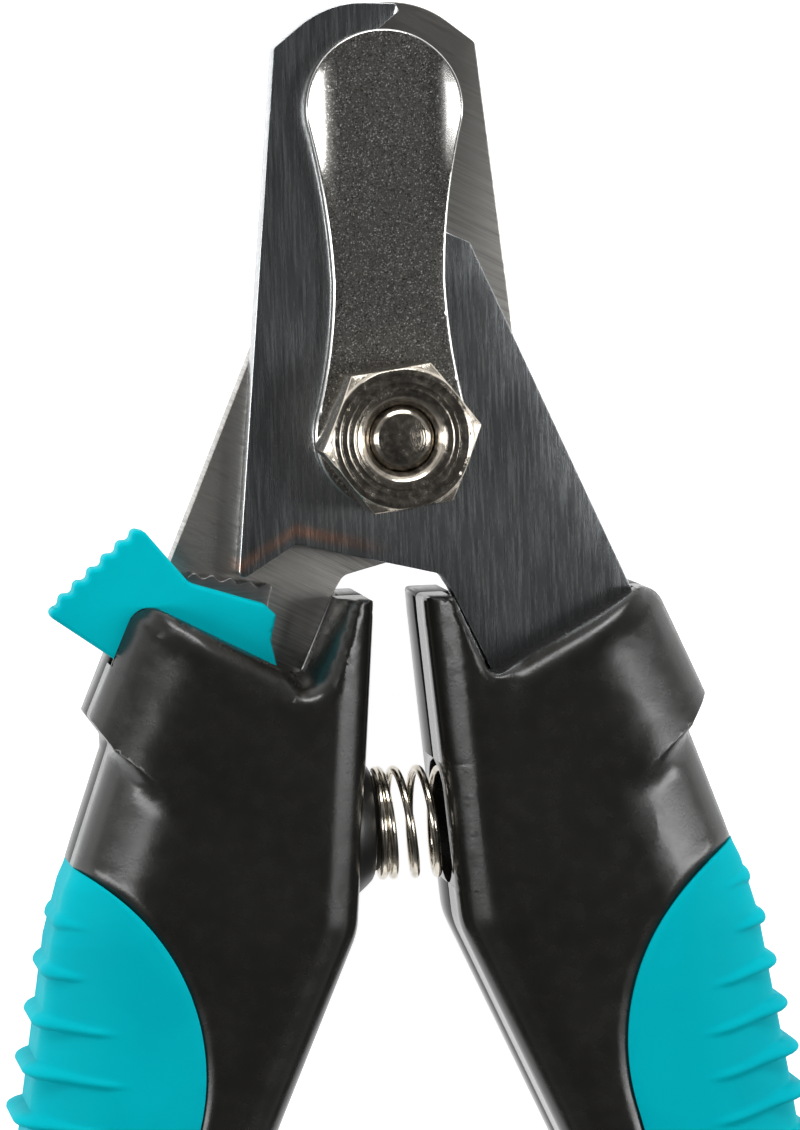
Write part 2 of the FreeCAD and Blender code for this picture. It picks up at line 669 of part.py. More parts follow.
def return_spring():
    """A coil along X, from the cup's floor to the recess in the right handle."""
    helix = doc.addObject("Part::Helix", "spring_path")
    helix.setExpression("Pitch", "Dimensions.coil_pitch")
    helix.setExpression("Height", "Dimensions.coil_length")
    helix.setExpression("Radius", "Dimensions.coil_radius")
    helix.SegmentLength = 0.5
    doc.recompute()
    wire = doc.addObject("Part::Circle", "spring_wire")
    wire.setExpression("Radius", "Dimensions.wire_radius")
    wire.setExpression("Placement.Base.x", "Dimensions.coil_radius")
    wire.Placement.Rotation = FreeCAD.Rotation(V(1, 0, 0), 90)
    coil = doc.addObject("Part::Sweep", "return_spring")
    coil.Label = "return_spring"
    coil.Sections = [wire]
    coil.Spine = (helix, [f"Edge{number + 1}" for number in range(len(helix.Shape.Edges))])
    coil.Solid = True
    coil.Frenet = True
    coil.Placement.Rotation = FreeCAD.Rotation(V(0, 1, 0), 90)
    coil.setExpression("Placement.Base.x", "Dimensions.spring_start")
    coil.setExpression("Placement.Base.y", "Dimensions.pivot_along + Dimensions.spring_along")
    coil.setExpression("Placement.Base.z", "Dimensions.blade_plane")
    doc.recompute()
    return coil


# ---------------------------------------------------------------------------------------------------------
# Build, check and write
# ---------------------------------------------------------------------------------------------------------
front_blade()
rear_blade()
guard_plate()
pivot_bolt()
pivot_nut()
nut_insert()
for hand, side in (("left", -1), ("right", 1)):
    front_shell(f"{hand}_front_shell", side)
    rear_shell(f"{hand}_rear_shell", side)
    grip(f"{hand}_grip", side)
    screws(f"{hand}_screws", side)
lock_lever()
lock_pawl()
lock_pin()
spring_cup()
return_spring()
doc.recompute()

nodes = [item for item in doc.Objects if item.TypeId == "PartDesign::Body" or item.Label == "return_spring"]
for item in doc.Objects:
    if "Invalid" in item.State or "Error" in item.State:
        raise RuntimeError(f"{item.Name} failed: {item.State}")
for node in nodes:
    if node.Shape.isNull() or not node.Shape.isValid():
        raise RuntimeError(f"{node.Label} has no valid shape")

os.makedirs("parts", exist_ok=True)
for node in nodes:
    node.Shape.exportStep(f"parts/{node.Label}.step")
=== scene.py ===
"""Scissor nail clipper for pets, visual model.

Outlines and levels are in millimetres about the pivot axis, with +Y towards the blade tips and z = 0 on the
plane where the two blades meet, as in the CAD model.
"""
import json
import math

import bmesh
import bpy
import numpy as np
from mathutils import Matrix, Vector
from mathutils.geometry import delaunay_2d_cdt


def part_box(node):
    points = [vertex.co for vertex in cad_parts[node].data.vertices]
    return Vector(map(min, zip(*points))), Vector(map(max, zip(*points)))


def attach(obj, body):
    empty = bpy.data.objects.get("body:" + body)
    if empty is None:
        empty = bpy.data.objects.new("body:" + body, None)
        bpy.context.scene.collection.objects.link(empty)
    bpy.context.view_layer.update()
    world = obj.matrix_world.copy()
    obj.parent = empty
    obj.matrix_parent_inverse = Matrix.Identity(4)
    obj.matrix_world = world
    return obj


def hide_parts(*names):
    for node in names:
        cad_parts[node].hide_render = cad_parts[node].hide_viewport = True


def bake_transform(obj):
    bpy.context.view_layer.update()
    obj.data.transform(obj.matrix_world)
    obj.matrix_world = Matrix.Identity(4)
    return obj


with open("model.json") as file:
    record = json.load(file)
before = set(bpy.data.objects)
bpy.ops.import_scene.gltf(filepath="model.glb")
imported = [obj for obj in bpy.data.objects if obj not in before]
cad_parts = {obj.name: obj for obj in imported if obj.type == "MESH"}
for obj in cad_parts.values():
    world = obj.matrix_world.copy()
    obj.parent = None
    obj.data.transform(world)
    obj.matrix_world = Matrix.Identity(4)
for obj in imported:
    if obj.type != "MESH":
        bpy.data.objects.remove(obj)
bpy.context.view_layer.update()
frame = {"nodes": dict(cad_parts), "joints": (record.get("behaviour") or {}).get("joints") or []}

MM = 0.001
PIVOT = next(joint["pos_m"] for joint in frame["joints"] if joint["name"] == "handle_pivot")
ORIGIN = np.array([PIVOT[0], PIVOT[1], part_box("rear_blade")[1].z])

# --- Outlines, as corners (x, y) or (x, y, rounding radius); ("via", x, y) makes the run an arc ---
BLADE = [
    (-7.5, 28.0, 0.6), (-3.4, 31.25, 7.0), (1.45, 30.95, 0.3), (1.7, 30.4), (0.1, 29.1),
    ("via", 0.65, 21.2), (4.6, 14.4), (6.3, 13.6, 0.4), (18.6, -14.8, 3.0), (17.6, -31.0, 2.5),
    (9.6, -31.0, 2.5), (9.0, -22.0, 6.0), (4.1, -11.4), (3.4, -10.3, 0.9), (-7.1, -7.7, 1.0),
    (-11.35, -10.3, 0.4),
]
CUTTING_EDGE = [(0.1, 29.1), ("via", 0.65, 21.2), (4.6, 14.4)]
GUARD = [
    (4.2, 11.0), ("via", 4.55, 16.0), (5.75, 22.6), ("via", 0.15, 29.15), (-5.45, 22.6),
    ("via", -4.25, 16.0), (-3.9, 11.0), ("via", -4.25, 6.8), (-5.45, 1.2), ("via", 0.0, -5.58),
    (5.5, 1.2), ("via", 4.5, 6.8),
]
TANG_HOLES = [(15.5, -23.0), (12.2, -28.5)]
END_SCREW = (28.4, -117.5)
LOCK_PIVOT = (-15.9, -14.2)

# one handle's two long sides, from the top down
INNER_SIDE = [
    (1.80, -11.75, 0.4), (1.90, -13.4), (2.40, -19.6), (2.57, -21.7), (3.30, -30.35),
    (3.75, -35.8, 5.0), (9.16, -48.0), (14.9, -61.0, 9.0), (17.2, -67.5), (19.0, -76.0, 20.0),
    (21.9, -97.0),
    (24.0, -118.0), (24.8, -122.0), (26.2, -124.3), (27.7, -125.3),
]
OUTER_SIDE = [
    (18.49, -11.82), (18.85, -11.99), (19.17, -12.24), (19.49, -12.68), (22.5, -19.6, 0.35),
    (21.0, -21.7, 0.35),
    (24.1, -30.35), (25.7, -35.8), (27.7, -48.0), (29.6, -61.0), (30.4, -67.5), (31.4, -76.0), (33.0, -97.0),
    (33.0, -118.0), (32.3, -122.0), (31.2, -124.3), (29.9, -125.3),
]
RIM = [(18.49, -11.82), (17.97, -11.74), (17.55, -11.79), (17.17, -11.94)]
STRIP_EDGE = [(6.35, -17.7, 0.9), (3.78, -11.75)]
SLOPING_EDGE = [(6.80, -17.47, 0.7), (4.28, -11.75)]
STRIP_TOP = [(3.78, -11.75), (1.80, -11.75)]
SEAM = [(24.1, -30.35), (12.7, -36.6, 16.5), (32.2, -112.4)]
SHELL = (INNER_SIDE + OUTER_SIDE[:-4:-1] + [(33.0, -118.0), (33.0, -112.4)] + SEAM[::-1]
         + OUTER_SIDE[5:3:-1] + [(18.71, -11.12, 1.7)])
SHOULDER_CUT = [OUTER_SIDE[4][:2], OUTER_SIDE[5][:2], (17.0, -24.7)]
TANG_POCKET = [
    (5.6, -16.0), (8.75, -22.2), (9.35, -31.2, 2.6), (17.85, -31.2, 2.6), (18.95, -15.2, 2.0),
    (16.55, -9.5), (5.6, -9.5),
]
LEVER_POCKET = [
    (-27.0, -11.2), (-21.2, -15.5), (-18.0, -18.7, 1.0), (-13.5, -20.2), (-10.3, -21.0, 2.0),
    (-7.6, -18.0, 1.5), (-7.0, -12.0), (-7.0, -8.0), (-27.0, -8.0),
]
SHELL_DEPTH = 7.0
BOLT_HOLE = 3.05
TANG_HOLE = 1.45
HALF = {-1: "left_half", 1: "right_half"}


def mirrored(corners):
    """The same corners on the other side of the tool's middle plane."""
    return [("via", -c[1], c[2]) if c[0] == "via" else (-c[0],) + tuple(c[1:]) for c in corners]


def on_side(corners, side):
    return corners if side > 0 else mirrored(corners)


# --- Flat geometry ---
def unit(v):
    return v / np.linalg.norm(v)


def arc_points(start, middle, stop, pitch):
    """Points from start towards stop, without stop, on the arc through the middle point."""
    (ax, ay), (bx, by), (cx, cy) = start, middle, stop
    d = 2 * (ax * (by - cy) + bx * (cy - ay) + cx * (ay - by))
    if abs(d) < 1e-9:
        return line_points(start, stop, pitch)
    a2, b2, c2 = ax * ax + ay * ay, bx * bx + by * by, cx * cx + cy * cy
    centre = np.array([
        (a2 * (by - cy) + b2 * (cy - ay) + c2 * (ay - by)) / d,
        (a2 * (cx - bx) + b2 * (ax - cx) + c2 * (bx - ax)) / d,
    ])
    radius = np.linalg.norm(start - centre)
    angles = [math.atan2(*(p - centre)[::-1]) for p in (start, middle, stop)]
    turn = (angles[2] - angles[0]) % (2 * math.pi)
    if (angles[1] - angles[0]) % (2 * math.pi) > turn:
        turn -= 2 * math.pi
    count = max(2, math.ceil(abs(turn) * radius / pitch), math.ceil(abs(turn) / math.radians(12)))
    steps = angles[0] + turn * np.arange(count) / count
    return centre + radius * np.stack([np.cos(steps), np.sin(steps)], 1)


def line_points(start, stop, pitch):
    count = max(1, math.ceil(np.linalg.norm(stop - start) / pitch))
    return start + (stop - start) * (np.arange(count) / count)[:, None]


def drawn(corners, pitch=0.5, closed=True):
    """An outline with its corners rounded, as points no further apart than pitch."""
    count = len(corners)
    ends = {}
    for i, corner in enumerate(corners):
        if corner[0] == "via":
            continue
        point = np.array(corner[:2], float)
        before, after = corners[i - 1], corners[(i + 1) % count]
        tip = not closed and i in (0, count - 1)
        if len(corner) < 3 or tip or before[0] == "via" or after[0] == "via":
            ends[i] = (point, None, point)
            continue
        back, ahead = unit(np.array(before[:2]) - point), unit(np.array(after[:2]) - point)
        half = math.acos(np.clip(back @ ahead, -1, 1)) / 2
        run = corner[2] / math.tan(half)
        depth = corner[2] / math.sin(half) - corner[2]
        ends[i] = (point + back * run, point + unit(back + ahead) * depth, point + ahead * run)
    points = []
    for i, (start, middle, stop) in ends.items():
        if middle is not None:
            points.append(arc_points(start, middle, stop, pitch))
        after = (i + 1) % count
        if not closed and i == count - 1:
            points.append(stop[None])
            break
        if corners[after][0] == "via":
            points.append(arc_points(stop, np.array(corners[after][1:]), ends[(i + 2) % count][0], pitch))
        elif np.linalg.norm(stop - ends[after][0]) > 1e-6:
            points.append(line_points(stop, ends[after][0], pitch))
    return np.concatenate(points)


def circle(centre, radius, count=48):
    angles = 2 * math.pi * np.arange(count) / count
    return np.array(centre) + radius * np.stack([np.cos(angles), np.sin(angles)], 1)


def circles(radii, count):
    return np.concatenate([circle((0, 0), radius, count) for radius in radii])


def gap(points, line, closed=False):
    """Distance of each point from a run of straight pieces."""
    a = line
    b = np.roll(line, -1, 0)
    if not closed:
        a, b = a[:-1], b[:-1]
    d = b - a
    length2 = np.maximum((d ** 2).sum(1), 1e-12)
    found = np.empty(len(points))
    for i in range(0, len(points), 2000):
        p = points[i:i + 2000, None, :]
        t = np.clip(((p - a) * d).sum(2) / length2, 0, 1)
        found[i:i + 2000] = np.sqrt((((a + t[..., None] * d) - p) ** 2).sum(2)).min(1)
    return found


def inside(points, loops):
    """True for the points within the loops, where a loop in a loop is a hole."""
    odd = np.zeros(len(points), bool)
    for loop in loops:
        a, b = loop, np.roll(loop, -1, 0)
        for i in range(0, len(points), 2000):
            x, y = points[i:i + 2000, 0, None], points[i:i + 2000, 1, None]
            cross = (a[:, 1] > y) != (b[:, 1] > y)
            with np.errstate(divide="ignore", invalid="ignore"):
                at = a[:, 0] + (y - a[:, 1]) / (b[:, 1] - a[:, 1]) * (b[:, 0] - a[:, 0])
            odd[i:i + 2000] ^= (cross & (x < at)).sum(1) % 2 == 1
    return odd


def rounding(distance, radius):
    """How far a surface with a rounded edge lies below its level, at a distance from the edge."""
    radius = np.maximum(radius, 1e-6)
    left = np.clip(radius - distance, 0, radius)
    return radius - np.sqrt(radius ** 2 - left ** 2)


def smoothstep(value, low, high):
    t = np.clip((value - low) / (high - low), 0, 1)
    return t * t * (3 - 2 * t)


RING_ANGLES = np.radians([10, 21, 33, 46, 60, 75, 90])


def offsets(line, distances, closed):
    """Points beside a line, on both of its sides."""
    ahead = np.roll(line, -1, 0) - line
    behind = line - np.roll(line, 1, 0)
    if not closed:
        ahead[-1], behind[0] = behind[-1], ahead[0]
    way = ahead / np.linalg.norm(ahead, axis=1)[:, None] + behind / np.linalg.norm(behind, axis=1)[:, None]
    way /= np.maximum(np.linalg.norm(way, axis=1), 1e-9)[:, None]
    normal = np.stack([-way[:, 1], way[:, 0]], 1)
    points = []
    for d in distances:
        beside = np.concatenate([line + normal * d, line - normal * d])
        points.append(beside[gap(beside, line, closed) > d * 0.985])
    return np.concatenate(points)


# --- Meshes ---
def add_piece(name, verts, faces, body, slot, node, sharp, welded=False):
    """A piece with the look of its slot, which stands for a CAD node; sharp is in degrees."""
    mesh = bpy.data.meshes.new(name)
    mesh.from_pydata((np.asarray(verts) * MM + ORIGIN).tolist(), [], faces)
    mesh.validate()
    mesh.materials.append(looks[slot])
    mesh.shade_smooth()
    mesh.set_sharp_from_angle(angle=math.radians(sharp))
    piece = bpy.data.objects.new(name, mesh)
    bpy.context.scene.collection.objects.link(piece)
    if body:
        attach(piece, body)
    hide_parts(node)
    if welded:
        weld(piece)
    return piece


def weld(piece):
    """Merge the vertices that lie on top of each other."""
    mesh = bmesh.new()
    mesh.from_mesh(piece.data)
    bmesh.ops.remove_doubles(mesh, verts=mesh.verts, dist=1e-7)
    bmesh.ops.recalc_face_normals(mesh, faces=mesh.faces)
    mesh.to_mesh(piece.data)
    mesh.free()


def at_level(level):
    """A surface at one level, for slab."""
    return lambda points: np.full(len(points), float(level))


def slab(loops, top, bottom, edges=(), points=None, pitch=1.4, top_steps=(), bottom_steps=(), inset=0.0,
         flip=False):
    """Vertices and faces of a plate whose upper and lower faces follow top(points) and bottom(points).

    edges are (line, radius, closed): extra points lie beside each line, so that a rounding there is smooth.
    A step is (loop, level): within the loop that face lies flat at the level, or follows level(points).
    inset draws the lowest rim in, for the groove where two shells meet.  flip turns the plate over.
    """
    fixed = list(loops) + [loop for loop, _ in list(top_steps) + list(bottom_steps)]
    extra = [] if points is None else [points]
    for line, radius, closed in edges:
        extra.append(offsets(line, radius * (1 - np.cos(RING_ANGLES)), closed))
    low, high = loops[0].min(0), loops[0].max(0)
    nx, ny = [max(2, int(n)) for n in (high - low) / pitch]
    grid = np.stack(np.meshgrid(np.linspace(low[0], high[0], nx), np.linspace(low[1], high[1], ny)), -1)
    grid = grid.reshape(-1, 2)
    grid[::2, 1] += pitch / 3
    grid = grid[np.min([gap(grid, loop, True) for loop in fixed], 0) > 0.4 * pitch]
    for line, radius, closed in edges:
        grid = grid[gap(grid, line, closed) > radius * 1.02 + 0.1]
    extra = np.concatenate(extra + [grid])
    extra = extra[inside(extra, loops)]
    extra = extra[np.min([gap(extra, loop, True) for loop in fixed], 0) > 0.01]

    flat, links = [], []
    for loop in fixed:
        first = len(flat)
        flat += loop.tolist()
        links += [(first + i, first + (i + 1) % len(loop)) for i in range(len(loop))]
    flat += extra.tolist()
    found = delaunay_2d_cdt([Vector(p) for p in flat], links, [], 0, 1e-6)
    xy = np.array([tuple(v) for v in found[0]])
    triangles = np.array([list(f) for f in found[2]])
    centres = xy[triangles].mean(1)
    triangles = triangles[inside(centres, loops)]
    a, b, c = xy[triangles[:, 0]], xy[triangles[:, 1]], xy[triangles[:, 2]]
    area = (b[:, 0] - a[:, 0]) * (c[:, 1] - a[:, 1]) - (b[:, 1] - a[:, 1]) * (c[:, 0] - a[:, 0])
    triangles = triangles[np.abs(area) > 1e-9]
    area = area[np.abs(area) > 1e-9]
    triangles[area < 0] = triangles[area < 0][:, ::-1]
    centres = xy[triangles].mean(1)

    sides = {}
    for number, (surface, steps) in enumerate(((top, top_steps), (bottom, bottom_steps))):
        kinds = np.zeros(len(triangles), int)
        levels = [surface(xy)]
        for k, (loop, level) in enumerate(steps, start=1):
            kinds[inside(centres, [loop])] = k
            levels.append((level if callable(level) else at_level(level))(xy))
        sides[number] = (kinds, levels)

    owner = {}
    for t, corners in enumerate(triangles):
        for i in range(3):
            owner[(corners[i], corners[(i + 1) % 3])] = t
    inward = np.zeros((len(xy), 2))
    for (i, j) in owner:
        if (j, i) not in owner:
            way = unit(xy[j] - xy[i])
            inward[i] += (-way[1], way[0])
            inward[j] += (-way[1], way[0])
    inward /= np.maximum(np.linalg.norm(inward, axis=1), 1e-9)[:, None]

    verts, index, faces = [], {}, []

    def vertex(i, number, kind, raised=False):
        key = (i, number, kind, raised)
        if key not in index:
            x, y = xy[i]
            z = sides[number][1][kind][i]
            if number == 1 and kind == 0 and inset:
                if raised:
                    z += inset
                else:
                    x, y = xy[i] + inward[i] * inset
            index[key] = len(verts)
            verts.append((x, y, z))
        return index[key]

    for number in (0, 1):
        kinds = sides[number][0]
        for t, corners in enumerate(triangles):
            face = [vertex(i, number, kinds[t]) for i in corners]
            faces.append(face if number == 0 else face[::-1])
    for (i, j), t in owner.items():
        over, under = sides[0][0][t], sides[1][0][t]
        if (j, i) not in owner:
            ring = [vertex(i, 1, under), vertex(j, 1, under), vertex(j, 0, over), vertex(i, 0, over)]
            if inset and under == 0:
                waist = [vertex(i, 1, 0, True), vertex(j, 1, 0, True)]
                faces.append([ring[0], ring[1], waist[1], waist[0]])
                ring[:2] = waist
            faces.append(ring)
            continue
        other = owner[(j, i)]
        for number, kinds, here in ((0, sides[0][0], over), (1, sides[1][0], under)):
            there = kinds[other]
            if here == there or t > other:
                continue
            quad = [vertex(i, number, there), vertex(j, number, there), vertex(j, number, here),
                    vertex(i, number, here)]
            faces.append(quad if number == 0 else quad[::-1])
    verts = np.array(verts)
    if flip:
        verts[:, 2] *= -1
        faces = [face[::-1] for face in faces]
    return verts, faces


def joined(*parts):
    """Several meshes as one."""
    verts, faces = [], []
    for v, f in parts:
        first = sum(len(part) for part in verts)
        verts.append(np.asarray(v, float))
        faces += [[first + i for i in face] for face in f]
    return np.concatenate(verts), faces


def lathe(profile, segments=64, along_x=False):
    """A closed profile of (distance from the axis, place along it) turned into a ring or a plug."""
    profile = np.asarray(profile, float)
    count = len(profile)
    angles = 2 * math.pi * np.arange(segments) / segments
    verts, faces = [], []
    for angle in angles:
        for r, h in profile:
            spot = (r * math.cos(angle), r * math.sin(angle), h)
            verts.append((spot[2], spot[0], spot[1]) if along_x else spot)
    for s in range(segments):
        after = (s + 1) % segments
        for i in range(count - 1):
            if profile[i][0] < 1e-9 and profile[i + 1][0] < 1e-9:
                continue
            faces.append([s * count + i, after * count + i, after * count + i + 1, s * count + i + 1])
    return np.array(verts), faces


# --- Materials ---
class Finish:
    """A node material with its texture coordinates in metres, fixed to the piece."""

    def __init__(self, name, colour, roughness, metallic=0.0, **sockets):
        self.material = bpy.data.materials.new(name)
        self.material.use_nodes = True
        self.material.diffuse_color = (*colour, 1)
        self.tree = self.material.node_tree
        self.shader = self.tree.nodes["Principled BSDF"]
        self.shader.inputs["Base Color"].default_value = (*colour, 1)
        self.shader.inputs["Roughness"].default_value = roughness
        self.shader.inputs["Metallic"].default_value = metallic
        for key, value in sockets.items():
            self.shader.inputs[key.replace("_", " ")].default_value = value
        self.place = self.node("ShaderNodeTexCoord").outputs["Object"]

    def node(self, kind, **values):
        """A new node; a value is one of its settings or, with _ for a space, what an input gets."""
        node = self.tree.nodes.new(kind)
        for key, value in values.items():
            if hasattr(node, key):
                setattr(node, key, value)
            elif isinstance(value, bpy.types.NodeSocket):
                self.link(value, node.inputs[key.replace("_", " ")])
            else:
                node.inputs[key.replace("_", " ")].default_value = value
        return node

    def link(self, output, socket):
        self.tree.links.new(output, socket)

    def mapped(self, scale, turn):
        """Coordinates turned about Z by degrees, then scaled per axis."""
        turned = self.node("ShaderNodeMapping", vector_type="POINT", Rotation=(0, 0, math.radians(turn)),
                           Vector=self.place)
        scaled = self.node("ShaderNodeMapping", vector_type="POINT", Scale=scale,
                           Vector=turned.outputs["Vector"])
        return scaled.outputs["Vector"]

    def noise(self, scale, detail=2.0, roughness=0.5, vector=None):
        node = self.node("ShaderNodeTexNoise", Scale=scale, Detail=detail, Roughness=roughness,
                         Vector=self.place if vector is None else vector)
        return node.outputs["Fac"]

    def spread(self, value, low, high, out_low=0.0, out_high=1.0):
        """A value brought from the range low to high into another range, and kept within it."""
        node = self.node("ShaderNodeMapRange", clamp=True, From_Min=low, From_Max=high,
                         To_Min=out_low, To_Max=out_high, Value=value)
        return node.outputs["Result"]

    def split(self, vector):
        """The X, Y and Z of a vector."""
        return self.node("ShaderNodeSeparateXYZ", Vector=vector).outputs

    def facing(self):
        """The X, Y and Z of the surface's normal."""
        return self.split(self.node("ShaderNodeNewGeometry").outputs["Normal"])

    def math(self, operation, a, b=None, c=None):
        node = self.node("ShaderNodeMath", operation=operation)
        for socket, value in zip(node.inputs, (a, b, c)):
            if value is None:
                continue
            if isinstance(value, (int, float)):
                socket.default_value = value
            else:
                self.link(value, socket)
        return node.outputs["Value"]

    def mix(self, share, first, second):
        """Colour between two colours, each a tuple or a socket."""
        node = self.node("ShaderNodeMix", data_type="RGBA")
        self.link(share, node.inputs["Factor"])
        colours = [s for s in node.inputs if s.type == "RGBA"]
        for socket, value in zip(colours, (first, second)):
            if isinstance(value, tuple):
                socket.default_value = (*value, 1)
            else:
                self.link(value, socket)
        return [s for s in node.outputs if s.type == "RGBA"][0]

    def colour(self, output):
        self.link(output, self.shader.inputs["Base Color"])

    def rough(self, output):
        self.link(output, self.shader.inputs["Roughness"])

    def bump(self, *layers):
        """Layers are (height socket, depth in metres)."""
        normal = None
        for height, depth in layers:
            node = self.node("ShaderNodeBump", Distance=depth, Strength=1.0, Height=height)
            if normal is not None:
                self.link(normal, node.inputs["Normal"])
            normal = node.outputs["Normal"]
        self.link(normal, self.shader.inputs["Normal"])


def black_plastic(name, colour=(0.0078, 0.0076, 0.0064), roughness=0.25):
    """Moulded nylon with a fine spark-eroded grain, smoother where it faces the tool's middle."""
    finish = Finish(name, colour, roughness, Specular_IOR_Level=0.5)
    cloud = finish.noise(150, 2, 0.5)
    lighter = tuple(1.35 * c for c in colour)
    finish.colour(finish.mix(finish.spread(cloud, 0.35, 0.7), colour, lighter))
    side = finish.math("SIGN", finish.split(finish.place)["X"])
    moulded = finish.spread(finish.math("MULTIPLY", side, finish.facing()["X"]), -0.93, -0.80)
    uneven = finish.spread(finish.noise(700, 3, 0.6), 0.3, 0.7, roughness - 0.03, roughness + 0.05)
    smooth = 0.13
    finish.rough(finish.math("MULTIPLY_ADD", finish.math("SUBTRACT", uneven, smooth), moulded, smooth))
    finish.bump((cloud, 1.5e-5), (finish.noise(4800, 2, 0.5), 5e-6))
    return finish.material


def rubber(name, colour):
    """Soft satin elastomer, almost even, with a faint mottle."""
    finish = Finish(name, colour, 0.42, Subsurface_Weight=0.15, Subsurface_Scale=0.001,
                    Subsurface_Radius=(0.2, 0.9, 1.0), Specular_IOR_Level=0.02)
    deeper = (colour[0] * 0.8, colour[1] * 0.9, colour[2] * 0.92)
    finish.colour(finish.mix(finish.spread(finish.noise(120, 2, 0.5), 0.35, 0.65), colour, deeper))
    finish.rough(finish.spread(finish.noise(900, 2), 0.3, 0.7, 0.5, 0.6))
    finish.bump((finish.noise(5200, 2, 0.6), 3e-6), (finish.noise(260, 2), 1.2e-5))
    return finish.material


def brushed_steel(name, dark, light, turn, roughness, fine, coarse, depth, painted_reflection=None, fade=None):
    """Ground steel: streaks along a direction, turned in degrees from +Y.

    fade is a range of Y, and of shares, in which the steel darkens: a painted shade.  warm is (corner,
    slopes, colour): a painted reflection, a thin band of that colour painted above the two edges that run
    from the corner at these slopes.
    """
    finish = Finish(name, light, roughness, 1.0)
    thin = finish.noise(1.0, 4, 0.65, finish.mapped((fine, fine / 40, fine / 40), turn))
    wide = finish.noise(1.0, 3, 0.6, finish.mapped((coarse, coarse / 25, coarse / 25), turn))
    patch = finish.noise(62, 2, 0.5)
    streaks = finish.math("MULTIPLY_ADD", thin, 0.55, finish.math("MULTIPLY", wide, 0.45))
    shade = finish.mix(finish.spread(streaks, 0.36, 0.64), dark, light)
    place = finish.split(finish.place)
    # painted shade: the steel colour is darkened along Y within the fade range
    if fade:
        shade = finish.mix(finish.spread(place["Y"], *fade), shade, tuple(0.3 * c for c in dark))
    darker = tuple(0.55 * c for c in dark)
    shade = finish.mix(finish.spread(patch, 0.35, 0.68, 0.0, 0.6), shade, darker)
    # painted reflection: a thin reddish band coloured in above the arched edges, standing in for a reflection
    if painted_reflection:
        (px, py), slopes, colour = painted_reflection
        along = finish.math("SUBTRACT", place["X"], px * MM)
        height = finish.math("SUBTRACT", place["Y"], float(ORIGIN[1] + py * MM))
        above = finish.math("MAXIMUM", *[finish.math("MULTIPLY_ADD", along, s, height) for s in slopes])
        band = finish.spread(above, 0.0004, 0.0009)
        for limit in (
            finish.spread(above, 0.0017, 0.0011), finish.spread(place["X"], 0.000, -0.005),
            finish.spread(place["X"], -0.0120, -0.0108),
            finish.spread(finish.noise(300, 2), 0.35, 0.6, 0.4, 1.0),
        ):
            band = finish.math("MULTIPLY", band, limit)
        shade = finish.mix(band, shade, colour)
    finish.colour(shade)
    finish.rough(finish.spread(streaks, 0.35, 0.65, roughness + 0.08, roughness - 0.06))
    finish.bump((thin, depth))
    return finish.material


def speckled_steel(name):
    """Tumbled plate: dark satin metal with fine bright grains on the flat, smooth on bends and edges.

    On the bends and edges the colour is painted lighter, a painted highlight on the bent wings.
    """
    finish = Finish(name, (0.20, 0.20, 0.20), 0.3, 1.0)
    cells = finish.node("ShaderNodeTexVoronoi", feature="F1", Scale=14000, Vector=finish.place)
    grains = finish.node("ShaderNodeSeparateColor", Color=cells.outputs["Color"]).outputs
    level = finish.spread(finish.facing()["Z"], 0.955, 0.985)
    mottle = finish.noise(9000, 4, 0.7)
    lit = finish.math("MULTIPLY", finish.spread(grains["Red"], 0.86, 1.0), level)
    base = finish.mix(finish.spread(mottle, 0.36, 0.68), (0.12, 0.117, 0.108), (0.28, 0.272, 0.255))
    # painted highlight: where the surface tilts away from flat, the colour is painted light so the bent wings
    # shine near white
    base = finish.mix(level, (0.62, 0.61, 0.59), base)
    finish.colour(finish.mix(lit, base, (0.85, 0.84, 0.80)))
    coarse = finish.spread(grains["Green"], 0.0, 1.0, 0.24, 0.42)
    smooth = 0.2
    finish.rough(finish.math("MULTIPLY_ADD", finish.math("SUBTRACT", coarse, smooth), level, smooth))
    finish.bump((finish.math("MULTIPLY", mottle, level), 2.5e-6))
    return finish.material


def polished(name, colour, roughness=0.16, rings=True):
    """Warm nickel plate, with turning marks about the pivot axis."""
    finish = Finish(name, colour, roughness, 1.0)
    stain = finish.noise(900, 4, 0.65)
    dull = tuple(c * 0.62 for c in colour)
    finish.colour(finish.mix(finish.spread(stain, 0.42, 0.7), colour, dull))
    finish.rough(finish.spread(finish.noise(2200, 3, 0.6), 0.3, 0.75, roughness - 0.04, roughness + 0.14))
    layers = [(finish.noise(3000, 3, 0.6), 4e-6)]
    if rings:
        place = finish.split(finish.place)
        dx = finish.math("SUBTRACT", place["X"], float(ORIGIN[0]))
        dy = finish.math("SUBTRACT", place["Y"], float(ORIGIN[1]))
        square = finish.math("MULTIPLY_ADD", dx, dx, finish.math("MULTIPLY", dy, dy))
        marks = finish.node("ShaderNodeTexNoise", noise_dimensions="1D", Scale=9000, Detail=3,
                            W=finish.math("SQRT", square))
        layers.append((marks.outputs["Fac"], 9e-6))
    finish.bump(*layers)
    return finish.material


def nylon(name, colour):
    """Plain moulded nylon with a faint mottle."""
    finish = Finish(name, colour, 0.4)
    finish.colour(finish.mix(finish.noise(800, 3), colour, tuple(c * 0.8 for c in colour)))
    finish.bump((finish.noise(2500, 3), 8e-6))
    return finish.material


